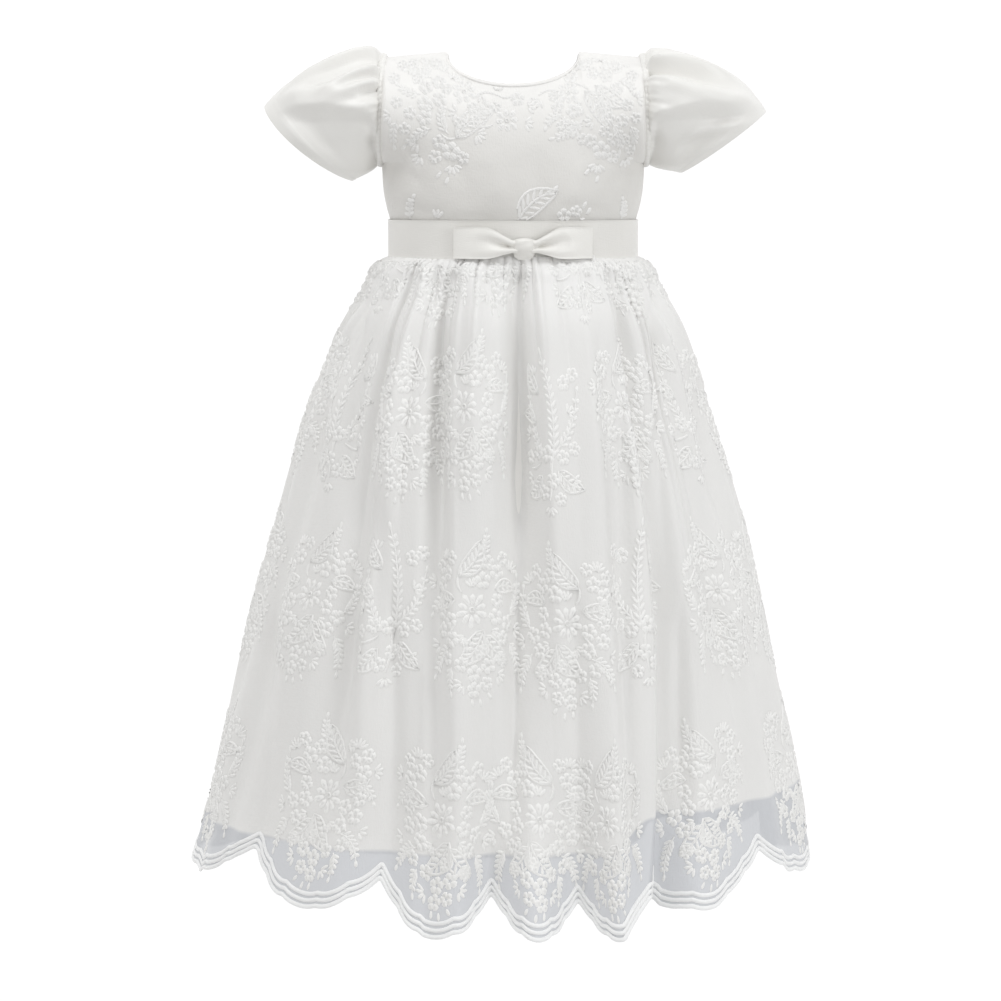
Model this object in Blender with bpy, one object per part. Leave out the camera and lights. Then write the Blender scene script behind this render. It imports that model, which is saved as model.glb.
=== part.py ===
"""A baby's christening gown, worn out to its full form: a short-sleeved bodice of
embroidered lace on satin, a satin ribbon sash with a flat bow, and a long gathered skirt
of sheer lace with a scalloped hem over a shorter satin lining.

Metres, +Z up. The gown faces -Y and +X is the viewer's right. The origin is the middle of
the line between the shoulders, level with the highest point of the shoulder seams.

Every cloth piece is a wall: its outer face is computed by a function of two numbers, one
round or across the piece and one along it, and its inner face is that face moved in by
the wall's thickness along its normal.
"""

import math

import bmesh
import bpy
import numpy as np
from mathutils import Vector

# ---------------------------------------------------------------- sizes, in metres
WALL = 0.0012          # lace on satin, and the satin of the sleeves
SKIRT_WALL = 0.0010    # sheer lace, and the lining satin
RIBBON_WALL = 0.0010
GAP = 0.0003           # between two pieces at a seam

# bodice
WAIST_Z = -0.1600
UNDERARM_Z = -0.0875
SHOULDER_NECK_Z = -0.0024      # height of the shoulder seam at the neck
SHOULDER_ARM_Z = -0.0066       # and at the armhole
ARM_X_TOP, ARM_X_LOW = 0.0985, 0.1012   # half width at the shoulder point and the underarm
ARM_DEPTH_FRONT = 0.048        # how far the armhole reaches forward of the side seam
ARM_DEPTH_BACK = 0.044
NECK_HALF = 0.0508             # half width of the neck on the shoulder seams
NECK_FRONT = (0.0560, -0.0282)  # depth and height of the neck edge at the centre front
NECK_BACK = (0.0540, -0.0268)

# half width, front depth and back depth of the bodice below the underarm
BODICE = (  # z, half width, front, back
    (-0.1600, 0.0946, 0.0719, 0.0690),
    (-0.1310, 0.0948, 0.0726, 0.0696),
    (-0.1225, 0.0972, 0.0745, 0.0705),
    (-0.1120, 0.0994, 0.0756, 0.0712),
    (-0.0875, 0.1012, 0.0742, 0.0716),
)

# sash
SASH_Z = (-0.1598, -0.1308)
SASH_HALF, SASH_FRONT, SASH_BACK = 0.0965, 0.0745, 0.0713

# skirt: half widths of the lace at the side folds, and how far inside it the lining is
SKIRT = (  # z, left, right, lining inset
    (-0.1603, 0.0944, 0.0944, 0.0026),
    (-0.1650, 0.1030, 0.1026, 0.0070),
    (-0.1775, 0.1105, 0.1103, 0.0100),
    (-0.1900, 0.1170, 0.1163, 0.0118),
    (-0.2084, 0.1280, 0.1266, 0.0137),
    (-0.2394, 0.1416, 0.1390, 0.0152),
    (-0.2705, 0.1549, 0.1478, 0.0157),
    (-0.3173, 0.1690, 0.1626, 0.0157),
    (-0.3642, 0.1817, 0.1768, 0.0152),
    (-0.4271, 0.1986, 0.1920, 0.0147),
    (-0.5061, 0.2178, 0.2090, 0.0137),
    (-0.5857, 0.2362, 0.2245, 0.0127),
    (-0.6480, 0.2530, 0.2316, 0.0120),
)
WAIST_FRONT, WAIST_BACK = 0.0717, 0.0688
HEM_FRONT, HEM_BACK = 0.1990, 0.1960
LACE_HEM_Z = -0.6480           # the lowest point of the scallops
HEM_RISE = (  # angle, and how much higher in millimetres the hem hangs there than in front
    (-90.0, 11.0), (-78.0, 14.0), (-68.0, 19.0), (-57.5, 24.0), (-46.0, 14.5), (-36.0, 10.0),
    (-24.5, 13.0), (-15.0, -2.0), (-4.0, 3.0), (4.0, 0.0), (13.0, -3.0), (19.0, -2.5),
    (20.5, 2.5), (22.0, 10.0), (23.6, 14.0), (25.0, 12.0), (29.0, 5.3), (32.0, 10.0), (39.0, 12.0),
    (46.0, 19.0), (57.0, 22.0), (62.0, 19.0), (70.0, 17.0),
    (80.0, 15.5), (90.0, 14.0), (130.0, 10.0), (180.0, 2.0), (230.0, 10.0), (270.0, 11.0),
)
LINING_HEM_Z, LINING_LIFT = -0.5955, 0.0245   # the lining hangs higher on the viewer's right
LINING_FOLD = 0.45             # share of the lace's folds that the lining follows

# The fold lines of the skirt, in order round it from the left side by way of the front.
# Angles are degrees from the centre front, towards the viewer's right; a positive reach is
# a ridge and a negative one a valley, in millimetres, at the waist, halfway and at the hem.
FOLDS = (  # angle at waist, half, hem; reach at waist, half, hem
    (-90.0, -90.0, -90.0, 2.0, 4.0, 4.0),
    (-82.0, -81.0, -80.0, -2.0, -3.0, -1.0),
    (-73.0, -72.0, -71.0, 2.0, 3.0, 1.5),
    (-67.0, -65.0, -65.5, -1.0, -2.0, -0.5),
    (-60.0, -57.0, -60.0, 2.0, 4.0, 2.0),
    (-51.0, -47.0, -56.5, -1.0, 1.0, -4.0),
    (-44.0, -38.0, -42.0, -2.0, -6.0, 1.0),
    (-38.0, -33.0, -32.0, 2.0, 5.0, 6.0),
    (-31.0, -24.0, -23.5, -1.0, -4.0, -8.0),
    (-25.5, -17.5, -16.0, -4.0, -8.0, 4.0),
    (-20.0, -12.5, -9.5, 3.0, 6.0, 13.0),
    (-8.0, -5.0, -4.0, -1.0, 0.0, -17.0),
    (2.2, 3.0, 3.6, -5.0, -13.0, 17.0),
    (12.0, 10.5, 13.0, 2.0, 5.0, -18.0),
    (24.0, 20.5, 19.2, 3.0, 9.0, 17.0),
    (30.0, 24.5, 21.2, -2.0, -2.0, 14.0),
    (36.0, 31.0, 23.6, 3.0, 8.0, 12.0),
    (41.0, 35.0, 26.8, -3.0, -8.0, -17.0),
    (49.0, 43.0, 36.0, 2.0, 5.0, 7.0),
    (56.0, 52.0, 55.6, -1.0, -3.0, -5.0),
    (63.0, 59.0, 61.5, 2.0, 3.0, 2.0),
    (70.0, 67.0, 68.0, -1.0, -2.0, -0.5),
    (80.0, 79.0, 77.0, 1.0, 2.0, 1.5),
    (90.0, 90.0, 88.0, 1.0, 2.0, 2.0),
    (96.0, 97.0, 97.0, -2.0, -4.0, -5.0),
    (104.0, 105.0, 106.0, 2.0, 6.0, 9.0),
    (111.0, 113.0, 114.0, -3.0, -6.0, -10.0),
    (120.0, 121.0, 122.0, 3.0, 7.0, 11.0),
    (127.0, 130.0, 131.0, -2.0, -5.0, -9.0),
    (136.0, 137.0, 138.0, 2.0, 5.0, 9.0),
    (143.0, 145.0, 147.0, -3.0, -8.0, -13.0),
    (152.0, 153.0, 154.0, 3.0, 8.0, 13.0),
    (159.0, 161.0, 162.0, -2.0, -6.0, -11.0),
    (166.0, 168.0, 169.0, 2.0, 6.0, 11.0),
    (175.0, 176.0, 177.0, -3.0, -9.0, -14.0),
    (184.0, 184.0, 185.0, 2.0, 8.0, 13.0),
    (191.0, 192.0, 193.0, -2.0, -5.0, -11.0),
    (200.0, 200.0, 201.0, 3.0, 7.0, 12.0),
    (208.0, 209.0, 209.0, -3.0, -7.0, -12.0),
    (217.0, 217.0, 217.0, 2.0, 6.0, 10.0),
    (224.0, 225.0, 225.0, -2.0, -5.0, -9.0),
    (233.0, 234.0, 234.0, 3.0, 7.0, 10.0),
    (242.0, 243.0, 243.0, -2.0, -6.0, -9.0),
    (251.0, 251.0, 251.0, 2.0, 5.0, 8.0),
    (260.0, 261.0, 261.0, -2.0, -4.0, -7.0),
)

# Where two scallops meet, in degrees at the hem, in the same order as the folds.
CUSPS = (
    -57.5, -24.7, -4.0, 13.0, 26.8, 57.0, 97.0, 122.0, 147.0, 169.0, 193.0, 217.0, 238.5, 261.0
)
SCALLOP_DEPTH = 0.0225

# sleeves: the cuff is an ellipse whose long axis leans outwards
SLEEVES = (  # name, side, cuff centre x, cuff centre z, long half axis, its lean x, its lean z,
    # how much fuller the outer half is above, how far the middle of the cuff reaches past its ends
    ("sleeve_left", -1.0, 0.1572, -0.0722, 0.0440, 0.757, 0.653, 0.0055, 0.0100),
    ("sleeve_right", 1.0, 0.1621, -0.0714, 0.0400, 0.808, 0.588, 0.0085, 0.0020),
)
CUFF_DEPTH = 0.0400            # half depth of the cuff, front to back
SLEEVE_SECTIONS = (  # share of the way out, puff above, puff at the sides, puff below
    (0.00, 0.0000, 0.0000, 0.0000),
    (0.05, 0.0060, 0.0030, 0.0000),
    (0.14, 0.0105, 0.0060, 0.0006),
    (0.30, 0.0118, 0.0085, 0.0012),
    (0.50, 0.0095, 0.0085, 0.0012),
    (0.72, 0.0060, 0.0060, 0.0008),
    (0.90, 0.0020, 0.0025, 0.0003),
    (1.00, 0.0000, 0.0005, 0.0000),
)
SLEEVE_PLEATS = (  # angle round the armhole from its top, half width in degrees, rise, reach along the sleeve
    (-62.0, 9.0, 0.0016, 0.35),
    (-41.0, 8.0, 0.0024, 0.60),
    (-20.0, 9.0, 0.0020, 0.45),
    (3.0, 9.0, 0.0026, 0.65),
    (26.0, 9.0, 0.0018, 0.50),
    (47.0, 8.0, 0.0024, 0.60),
    (68.0, 9.0, 0.0015, 0.35),
)

# bow
BOW_CENTRE = 0.0078            # along the sash from the centre front
BOW_REACH = 0.0520             # from the knot to the outer edge of a loop
BOW_HALF_HEIGHT = 0.0117
BOW_Z = -0.1474
KNOT_Z = -0.1516
KNOT_HALF = 0.0090
KNOT_HALF_HEIGHT = 0.0080

# buttons down the centre back
BUTTON_Z = (-0.0365, -0.0580, -0.0795, -0.1010, -0.1215)
BUTTON_RADIUS, BUTTON_HEIGHT = 0.0045, 0.0031
BUTTON_SIDE = 0.0030           # they sit this far to the viewer's left of the opening, seen from behind

# ---------------------------------------------------------------- the scene and materials
for old in list(bpy.data.objects):
    bpy.data.objects.remove(old, do_unlink=True)

gown = bpy.data.objects.new("gown_at_shoulders", None)
bpy.context.scene.collection.objects.link(gown)


def finish_of(name, colour, roughness, sheen=0.0, alpha=1.0):
    made = bpy.data.materials.new(name)
    made.use_nodes = True
    shader = made.node_tree.nodes["Principled BSDF"]
    shader.inputs["Base Color"].default_value = (*colour, 1.0)
    shader.inputs["Roughness"].default_value = roughness
    shader.inputs["Metallic"].default_value = 0.0
    shader.inputs["Sheen Weight"].default_value = sheen
    shader.inputs["Alpha"].default_value = alpha
    return made


LACE_ON_SATIN = finish_of("lace_on_satin", (0.90, 0.89, 0.86), 0.55, 0.2)
SATIN = finish_of("satin", (0.91, 0.90, 0.87), 0.38, 0.3)
RIBBON = finish_of("ribbon", (0.91, 0.89, 0.86), 0.42, 0.3)
SHEER_LACE = finish_of("sheer_lace", (0.92, 0.92, 0.90), 0.60, 0.3, 0.55)
BUTTON_SATIN = finish_of("button_satin", (0.90, 0.89, 0.86), 0.35)


# ---------------------------------------------------------------- tables and walls
def column(table, z, index):
    """A value of a table at height z, smooth between its rows."""
    heights = np.array([row[0] for row in table])[::-1]
    values = np.array([row[index] for row in table])[::-1]
    if heights[0] > heights[-1]:
        heights, values = heights[::-1], values[::-1]
    slopes = np.gradient(values, heights)
    z = np.clip(np.asarray(z, float), heights[0], heights[-1])
    at = np.clip(np.searchsorted(heights, z) - 1, 0, len(heights) - 2)
    step = heights[at + 1] - heights[at]
    t = (z - heights[at]) / step
    return (
        values[at] * (1 + 2 * t) * (1 - t) ** 2
        + slopes[at] * step * t * (1 - t) ** 2
        + values[at + 1] * t * t * (3 - 2 * t)
        - slopes[at + 1] * step * t * t * (1 - t)
    )


def normals_of(surface, u, v, outward):
    """Unit normals of surface(u, v) by small steps, so that two pieces share them at a seam."""
    eu, ev = 1e-4, 1e-4
    across = surface(u + eu, v) - surface(u - eu, v)
    along = surface(u, v + ev) - surface(u, v - ev)
    normal = np.cross(across, along)
    normal /= np.maximum(np.linalg.norm(normal, axis=-1, keepdims=True), 1e-12)
    return normal * outward


def wall_between(name, outer, inner, material, closed):
    """One closed body from two grids of points, rows along and columns across or round."""
    rows, columns = outer.shape[:2]
    mesh = bmesh.new()
    faces = [
        [[mesh.verts.new(Vector(p)) for p in line] for line in face]
        for face in (outer, inner)
    ]
    over = columns if closed else columns - 1
    for face in faces:
        for j in range(rows - 1):
            for i in range(over):
                k = (i + 1) % columns
                mesh.faces.new((face[j][i], face[j][k], face[j + 1][k], face[j + 1][i]))
    for j in (0, rows - 1):
        for i in range(over):
            k = (i + 1) % columns
            mesh.faces.new((faces[0][j][i], faces[0][j][k], faces[1][j][k], faces[1][j][i]))
    if not closed:
        for i in (0, columns - 1):
            for j in range(rows - 1):
                mesh.faces.new(
                    (faces[0][j][i], faces[0][j + 1][i], faces[1][j + 1][i], faces[1][j][i])
                )
    bmesh.ops.recalc_face_normals(mesh, faces=mesh.faces)
    bmesh.ops.triangulate(mesh, faces=mesh.faces)
    data = bpy.data.meshes.new(name)
    mesh.to_mesh(data)
    mesh.free()
    data.materials.append(material)
    data.shade_smooth()
    data.set_sharp_from_angle(angle=math.radians(50))
    made = bpy.data.objects.new(name, data)
    bpy.context.scene.collection.objects.link(made)
    made.parent = gown
    return made


def cloth(
    name, surface, across, along, material, wall, outward=1.0, closed=False, inside=None, stays=()
):
    """inside keeps the places where normals are taken off edges where lines run together.
    Each of stays is an axis and a side that the inner face keeps to by half a gap, for a
    piece that ends at a seam on that axis's plane."""
    u, v = np.meshgrid(np.asarray(across, float), np.asarray(along, float))
    outer = surface(u, v)
    if inside:
        u, v = np.clip(u, *inside[0]), np.clip(v, *inside[1])
    inner = outer - wall * normals_of(surface, u, v, outward)
    for axis, side in stays:
        inner[..., axis] = side * np.maximum(side * inner[..., axis], GAP / 2)
    return wall_between(name, outer, inner, material, closed)


# ---------------------------------------------------------------- bodice
def bodice_surface(front):
    """Outer face of the front or back. u is the angle from the centre, 90 degrees at the
    side; v runs from 0 at the waist to 1 at the underarm and 2 at the shoulder and neck."""
    sign = -1.0 if front else 1.0
    depth_column = 2 if front else 3
    neck_depth, neck_z = NECK_FRONT if front else NECK_BACK
    arm_depth = ARM_DEPTH_FRONT if front else ARM_DEPTH_BACK

    def surface(u, v):
        s, c = np.sin(u), np.cos(u)
        low = np.clip(v, 0.0, 1.0)
        h = np.clip(v - 1.0, 0.0, 1.0)             # height share above the underarm
        z_low = WAIST_Z + (UNDERARM_Z - WAIST_Z) * low
        half = np.where(
            v <= 1.0, column(BODICE, z_low, 1), ARM_X_LOW + (ARM_X_TOP - ARM_X_LOW) * h
        )
        depth = column(BODICE, z_low, depth_column)
        # the top edge: the shoulder seam outside the neck, the neckline inside it
        x_top = ARM_X_TOP * s
        share = np.clip(np.abs(x_top) / NECK_HALF, 0.0, 1.0)
        on_neck = np.sqrt(np.maximum(1 - share**2, 0.0))
        seam = np.clip((np.abs(x_top) - NECK_HALF) / (ARM_X_TOP - NECK_HALF), 0.0, 1.0)
        z_seam = SHOULDER_NECK_Z + (SHOULDER_ARM_Z - SHOULDER_NECK_Z) * seam
        z_top = z_seam + (neck_z - SHOULDER_NECK_Z) * on_neck
        y_top = neck_depth * on_neck
        # each line from the underarm level up to that edge bends over like a chest
        y_low = depth * c
        k = 0.46 + 0.42 * (1 - on_neck**2)
        k = np.where(np.abs(k - 0.5) < 1e-3, 0.501, k)
        q = (-k + np.sqrt(k * k + (1 - 2 * k) * h)) / (1 - 2 * k)
        y = y_low + (y_top - y_low) * q * q
        y = y + arm_depth * 2 * np.sqrt(np.maximum(h * (1 - h), 0.0)) * np.abs(s) ** 3.4
        z = np.where(v <= 1.0, z_low, UNDERARM_Z + (z_top - UNDERARM_Z) * h)
        return np.stack([half * s, sign * y, z], axis=-1)

    return surface


NECK_ANGLE = math.asin(NECK_HALF / ARM_X_TOP)
NECK_COLUMNS, SHOULDER_COLUMNS = 6, 4
ROWS = [0.0, 0.36, 0.56, 1.0] + [
    1.0 + (1 - math.cos(math.pi * j / 8)) / 2 for j in range(1, 9)
]


def bodice_columns(whole):
    """Angles of the columns, packed where the neck and the armhole bend most."""
    neck = [
        math.asin(NECK_HALF / ARM_X_TOP * math.sin(math.pi / 2 * i / NECK_COLUMNS))
        for i in range(NECK_COLUMNS + 1)
    ]
    shoulder = [
        NECK_ANGLE + (math.pi / 2 - NECK_ANGLE) * i / SHOULDER_COLUMNS
        for i in range(1, SHOULDER_COLUMNS + 1)
    ]
    half = neck + shoulder
    return [-a for a in half[:0:-1]] + half if whole else half


def moved(surface, shift):
    return lambda u, v: surface(u, v) + np.asarray(shift)


front_face = moved(bodice_surface(True), (0.0, -GAP / 2, 0.0))
INSIDE = ((-1.53, 1.53), (0.005, 1.985))
cloth(
    "bodice_front",
    front_face,
    bodice_columns(True),
    ROWS,
    LACE_ON_SATIN,
    WALL,
    1.0,
    inside=INSIDE,
    stays=((1, -1.0),),
)
for name, side in (("bodice_back_left", -1.0), ("bodice_back_right", 1.0)):
    back_face = moved(bodice_surface(False), (side * GAP / 2, GAP / 2, 0.0))
    cloth(
        name,
        back_face,
        [side * a for a in bodice_columns(False)],
        ROWS,
        LACE_ON_SATIN,
        WALL,
        -1.0,
        inside=INSIDE,
        stays=((1, 1.0), (0, side)),
    )


# ---------------------------------------------------------------- sleeves
def armhole_point(angle, side):
    """The seam the sleeve is sewn to; angle 0 is the underarm and pi the shoulder."""
    h = (1 - np.cos(angle)) / 2
    depth = np.where(np.sin(angle) > 0, ARM_DEPTH_FRONT, ARM_DEPTH_BACK)
    x = side * (ARM_X_LOW + (ARM_X_TOP - ARM_X_LOW) * h + GAP + 0.0002)
    z = UNDERARM_Z + (SHOULDER_ARM_Z - UNDERARM_Z) * h
    return np.stack([x, -depth * np.sin(angle), z], axis=-1)


def sleeve_surface(side, cuff_x, cuff_z, cuff_half, lean_x, lean_z, fuller, bowed):
    shares = np.array([row[0] for row in SLEEVE_SECTIONS])
    puffs = np.array([row[1:] for row in SLEEVE_SECTIONS])
    lean = np.array([side * lean_x, 0.0, lean_z])
    lean /= np.linalg.norm(lean)

    def surface(u, v):
        t = np.clip(v, 0.0, 1.0)
        start = armhole_point(u, side)
        middle = armhole_point(np.zeros_like(u), side) * 0.5 + armhole_point(
            np.full_like(u, np.pi), side
        ) * 0.5
        spoke = start - middle
        cuff_centre = np.array([side * cuff_x, 0.0, cuff_z])
        cuff_spoke = (
            -np.cos(u)[..., None] * cuff_half * lean
            - np.sin(u)[..., None] * CUFF_DEPTH * np.array([0.0, 1.0, 0.0])
        )
        ease = t[..., None]
        centre = middle + (cuff_centre - middle) * ease
        out = spoke + (cuff_spoke - spoke) * ease
        length = np.linalg.norm(out, axis=-1, keepdims=True)
        top = ((1 - np.cos(u)) / 2) ** 1.5
        under = ((1 + np.cos(u)) / 2) ** 1.5
        flank = np.abs(np.sin(u)) ** 1.5
        puff = (
            top * (np.interp(t, shares, puffs[:, 0]) + fuller * np.sin(np.pi * t**1.5))
            + flank * np.interp(t, shares, puffs[:, 1])
            + under * np.interp(t, shares, puffs[:, 2])
        )
        from_top = np.degrees(u) - 180.0
        for angle, width, rise, reach in SLEEVE_PLEATS:
            near = np.exp(-(((from_top - angle) / width) ** 2))
            along = np.clip(t / 0.06, 0, 1) * np.clip(1 - t / reach, 0, 1) ** 0.8
            puff = puff + rise * near * along
        past = (bowed * np.abs(np.sin(u)) ** 1.5 * t * t / 0.07 + (v - t) * 0.01)[..., None]
        return centre + out * (1 + puff[..., None] / length) + past * (cuff_centre - middle)

    return surface


SLEEVE_COLUMNS = 32
for name, side, *shape in SLEEVES:
    cloth(
        name,
        sleeve_surface(side, *shape),
        [2 * math.pi * (i + 0.5) / SLEEVE_COLUMNS for i in range(SLEEVE_COLUMNS)],
        [0.0, 0.06, 0.17, 0.34, 0.54, 0.74, 0.88, 1.0],
        SATIN,
        WALL,
        -side,
        closed=True,
    )


# ---------------------------------------------------------------- sash and bow
def sash_surface(u, v):
    """u is the angle from the centre front and v the height share."""
    back = np.cos(u) < 0
    depth = np.where(back, SASH_BACK, SASH_FRONT)
    z = SASH_Z[0] + (SASH_Z[1] - SASH_Z[0]) * v
    return np.stack([SASH_HALF * np.sin(u), -depth * np.cos(u), z], axis=-1)


SASH_COLUMNS = 48
cloth(
    "sash",
    sash_surface,
    [2 * math.pi * i / SASH_COLUMNS for i in range(SASH_COLUMNS)],
    [0.0, 1.0],
    RIBBON,
    RIBBON_WALL,
    1.0,
    closed=True,
)


def on_sash(along, off, z):
    """A point given by its distance round the sash from the centre front, how far off its
    face it is, and its height."""
    angles = np.linspace(-1.2, 1.2, 481)
    line = np.stack([SASH_HALF * np.sin(angles), -SASH_FRONT * np.cos(angles)], axis=-1)
    run = np.concatenate([[0], np.cumsum(np.linalg.norm(np.diff(line, axis=0), axis=1))])
    run -= run[240]
    angle = np.interp(along, run, angles)
    x, y = SASH_HALF * np.sin(angle), -SASH_FRONT * np.cos(angle)
    nx, ny = np.sin(angle) / SASH_HALF, -np.cos(angle) / SASH_FRONT
    size = np.hypot(nx, ny)
    return np.stack([x + off * nx / size, y + off * ny / size, z], axis=-1)


def bow_loop(side):
    """A ribbon that runs out along the sash, turns over and comes back in front: v goes
    along it from the knot and back, and u across its width."""

    def surface(u, v):
        turn = np.clip(v, 0.0, 1.0)
        out = np.sin(np.pi * np.clip(turn, 0, 1)) ** 0.55
        reach = KNOT_HALF * 0.55 + (BOW_REACH - KNOT_HALF * 0.55) * out
        swell = np.clip((reach - KNOT_HALF) / (BOW_REACH - KNOT_HALF), 0, 1)
        # the two layers part a little beyond the knot and meet again at the outer fold
        open_by = 0.0016 + 0.0022 * np.sin(np.pi * np.clip(swell, 0, 1) ** 0.6)
        off = 0.0016 + GAP + (0.5 - 0.5 * np.cos(np.pi * turn)) * (open_by + 0.0014)
        half = BOW_HALF_HEIGHT * (0.42 + 0.58 * np.clip(swell / 0.42, 0, 1) ** 0.7)
        dip = (1 - np.clip(swell / 0.42, 0, 1)) ** 1.5
        z = BOW_Z + (KNOT_Z - BOW_Z) * dip + half * u
        pucker = 0.0006 * np.cos(u * 7.0) * dip * turn
        return on_sash(BOW_CENTRE + side * reach, off + pucker, z)

    return surface


BOW_STEPS = [0.0, 0.004, 0.02, 0.05, 0.11, 0.22, 0.4, 0.5, 0.6, 0.78, 0.89, 0.95, 0.98, 0.996, 1.0]
for name, side in (("bow_left", -1.0), ("bow_right", 1.0)):
    cloth(
        name,
        bow_loop(side),
        [-1.0, -0.5, 0.0, 0.5, 1.0],
        BOW_STEPS,
        RIBBON,
        RIBBON_WALL * 0.9,
        -side,
    )


def knot_surface(u, v):
    """The band round the middle of the bow: u crosses it and v goes over it from below,
    standing off the sash over the loops and turned back to the sash above and below them."""
    turn = v * math.pi / 2
    off = 0.0022 + 0.0062 * np.abs(np.cos(turn)) ** 0.45 + 0.0004 * np.cos(6.5 * u) * np.cos(turn)
    half = KNOT_HALF * (1.0 - 0.14 * np.abs(v))
    rise = KNOT_HALF_HEIGHT * np.sign(v) * np.abs(np.sin(turn)) ** 0.8
    return on_sash(BOW_CENTRE + half * u, off, KNOT_Z + rise)


cloth(
    "bow_knot",
    knot_surface,
    [-1.0, -0.66, -0.33, 0.0, 0.33, 0.66, 1.0],
    [-1.0, -0.93, -0.78, -0.55, -0.28, 0.0, 0.28, 0.55, 0.78, 0.93, 1.0],
    RIBBON,
    0.0011,
    1.0,
    inside=((-0.98, 0.98), (-0.96, 0.96)),
)


# ---------------------------------------------------------------- skirt
def growth(z):
    """How far the skirt has widened at height z: 0 at the waist and 1 at the hem."""
    left = column(SKIRT, z, 1)
    return (left - SKIRT[0][1]) / (SKIRT[-1][1] - SKIRT[0][1])


def base_ring(angle, z, inset=0.0):
    """The skirt without its folds, at an angle in degrees."""
    turn = np.radians(angle)
    grown = growth(z)
    front = WAIST_FRONT + (HEM_FRONT - WAIST_FRONT) * grown
    back = WAIST_BACK + (HEM_BACK - WAIST_BACK) * grown
    wide = np.where(np.sin(turn) < 0, column(SKIRT, z, 1), column(SKIRT, z, 2)) - inset
    deep = np.where(np.cos(turn) > 0, front, back) - inset
    x, y = wide * np.sin(turn), -deep * np.cos(turn)
    nx, ny = np.sin(turn) / wide, -np.cos(turn) / deep
    size = np.hypot(nx, ny)
    return x, y, nx / size, ny / size


def along_skirt(values, z):
    """A fold's value at height z from those at the waist, halfway and the hem."""
    t = np.clip((z - SKIRT[0][0]) / (LACE_HEM_Z - SKIRT[0][0]), 0.0, 1.0)
    top, half, hem = values
    return top * (1 - t) * (1 - 2 * t) + half * 4 * t * (1 - t) + hem * t * (2 * t - 1)


FOLD_ROWS = np.array(FOLDS)
FOLD_COUNT = len(FOLDS)


def fold_at(line, z):
    """Angle and reach at a place between two fold lines; line counts them from 0."""
    whole = np.floor(line).astype(int)
    part = line - whole
    here, there = FOLD_ROWS[whole % FOLD_COUNT], FOLD_ROWS[(whole + 1) % FOLD_COUNT]
    turns = np.floor_divide(whole, FOLD_COUNT), np.floor_divide(whole + 1, FOLD_COUNT)
    angle_a = along_skirt(np.moveaxis(here[..., 0:3], -1, 0), z) + 360.0 * turns[0]
    angle_b = along_skirt(np.moveaxis(there[..., 0:3], -1, 0), z) + 360.0 * turns[1]
    reach_a = along_skirt(np.moveaxis(here[..., 3:6], -1, 0), z)
    reach_b = along_skirt(np.moveaxis(there[..., 3:6], -1, 0), z)
    ease = (1 - np.cos(np.pi * part)) / 2
    return angle_a + (angle_b - angle_a) * part, (reach_a + (reach_b - reach_a) * ease) / 1000


def folded(line, z, inset=0.0, share=1.0):
    angle, reach = fold_at(line, z)
    near_waist = np.clip((SKIRT[0][0] - z) / 0.012, 0.0, 1.0)
    x, y, nx, ny = base_ring(angle, z, inset)
    reach = reach * share * near_waist
    return np.stack([x + nx * reach, y + ny * reach, z + 0.0 * x], axis=-1)


# length of cloth round the hem, and where the scallops meet on it
HEM_LINES = np.linspace(0.0, FOLD_COUNT, FOLD_COUNT * 24 + 1)
HEM_LOOP = folded(HEM_LINES, np.full_like(HEM_LINES, LACE_HEM_Z))
HEM_RUN = np.concatenate([[0.0], np.cumsum(np.linalg.norm(np.diff(HEM_LOOP, axis=0), axis=1))])
HEM_LENGTH = HEM_RUN[-1]
HEM_ANGLES = fold_at(HEM_LINES, np.full_like(HEM_LINES, LACE_HEM_Z))[0]
CUSP_RUN = np.interp(CUSPS, HEM_ANGLES, HEM_RUN)


def scallop_rise(line):
    """How far the edge is above the lowest point of the scallops."""
    run = np.interp(np.mod(line, FOLD_COUNT), HEM_LINES, HEM_RUN)
    edges = np.concatenate([[CUSP_RUN[-1] - HEM_LENGTH], CUSP_RUN, [CUSP_RUN[0] + HEM_LENGTH]])
    at = np.clip(np.searchsorted(edges, run, side="right") - 1, 0, len(edges) - 2)
    x = (run - edges[at]) / (edges[at + 1] - edges[at])
    angle = np.interp(np.mod(line, FOLD_COUNT), HEM_LINES, HEM_ANGLES)
    rise = np.interp(angle, [row[0] for row in HEM_RISE], [row[1] for row in HEM_RISE])
    return SCALLOP_DEPTH * np.abs(2 * x - 1) ** 2.1 + rise / 1000


LACE_ROWS = (0.0, 0.022, 0.075, 0.17, 0.31, 0.47, 0.63, 0.79, 0.91, 1.0)


def lace_surface(line, v):
    """line counts fold lines round the skirt and v runs down it, 1 at the scalloped edge."""
    top = SKIRT[0][0]
    last = LACE_HEM_Z + SCALLOP_DEPTH + 0.032
    edge = LACE_HEM_Z + scallop_rise(line)
    straight = top + (last - top) * v / 0.91
    z = np.where(v <= 0.91, straight, last + (edge - last) * (v - 0.91) / 0.09)
    return folded(line, z)


def lace_outer_normals(line, v):
    return normals_of(lace_surface, line, v, 1.0)


def lining_surface(line, v):
    angle, _ = fold_at(line, np.full_like(line, LINING_HEM_Z))
    side = np.clip((np.sin(np.radians(angle)) - 0.31) / 0.23, 0.0, 1.0)
    hem = LINING_HEM_Z + LINING_LIFT * side * side * (3 - 2 * side)
    z = SKIRT[0][0] + (hem - SKIRT[0][0]) * v
    return folded(line, z, column(SKIRT, z, 3), LINING_FOLD)


def lines_between(start, end, spacing):
    """Columns on each fold line from start to end, and between them where they lie apart."""
    found = []
    for i in range(start, end):
        a, b = FOLD_ROWS[i % FOLD_COUNT][2], FOLD_ROWS[(i + 1) % FOLD_COUNT][2]
        if b < a:
            b += 360.0
        parts = max(1, round((b - a) / spacing))
        found += [i + k / parts for k in range(parts)]
    return found + [float(end)]


SIDE_LEFT, SIDE_RIGHT = 0, 23          # the fold lines that the side seams follow


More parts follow.
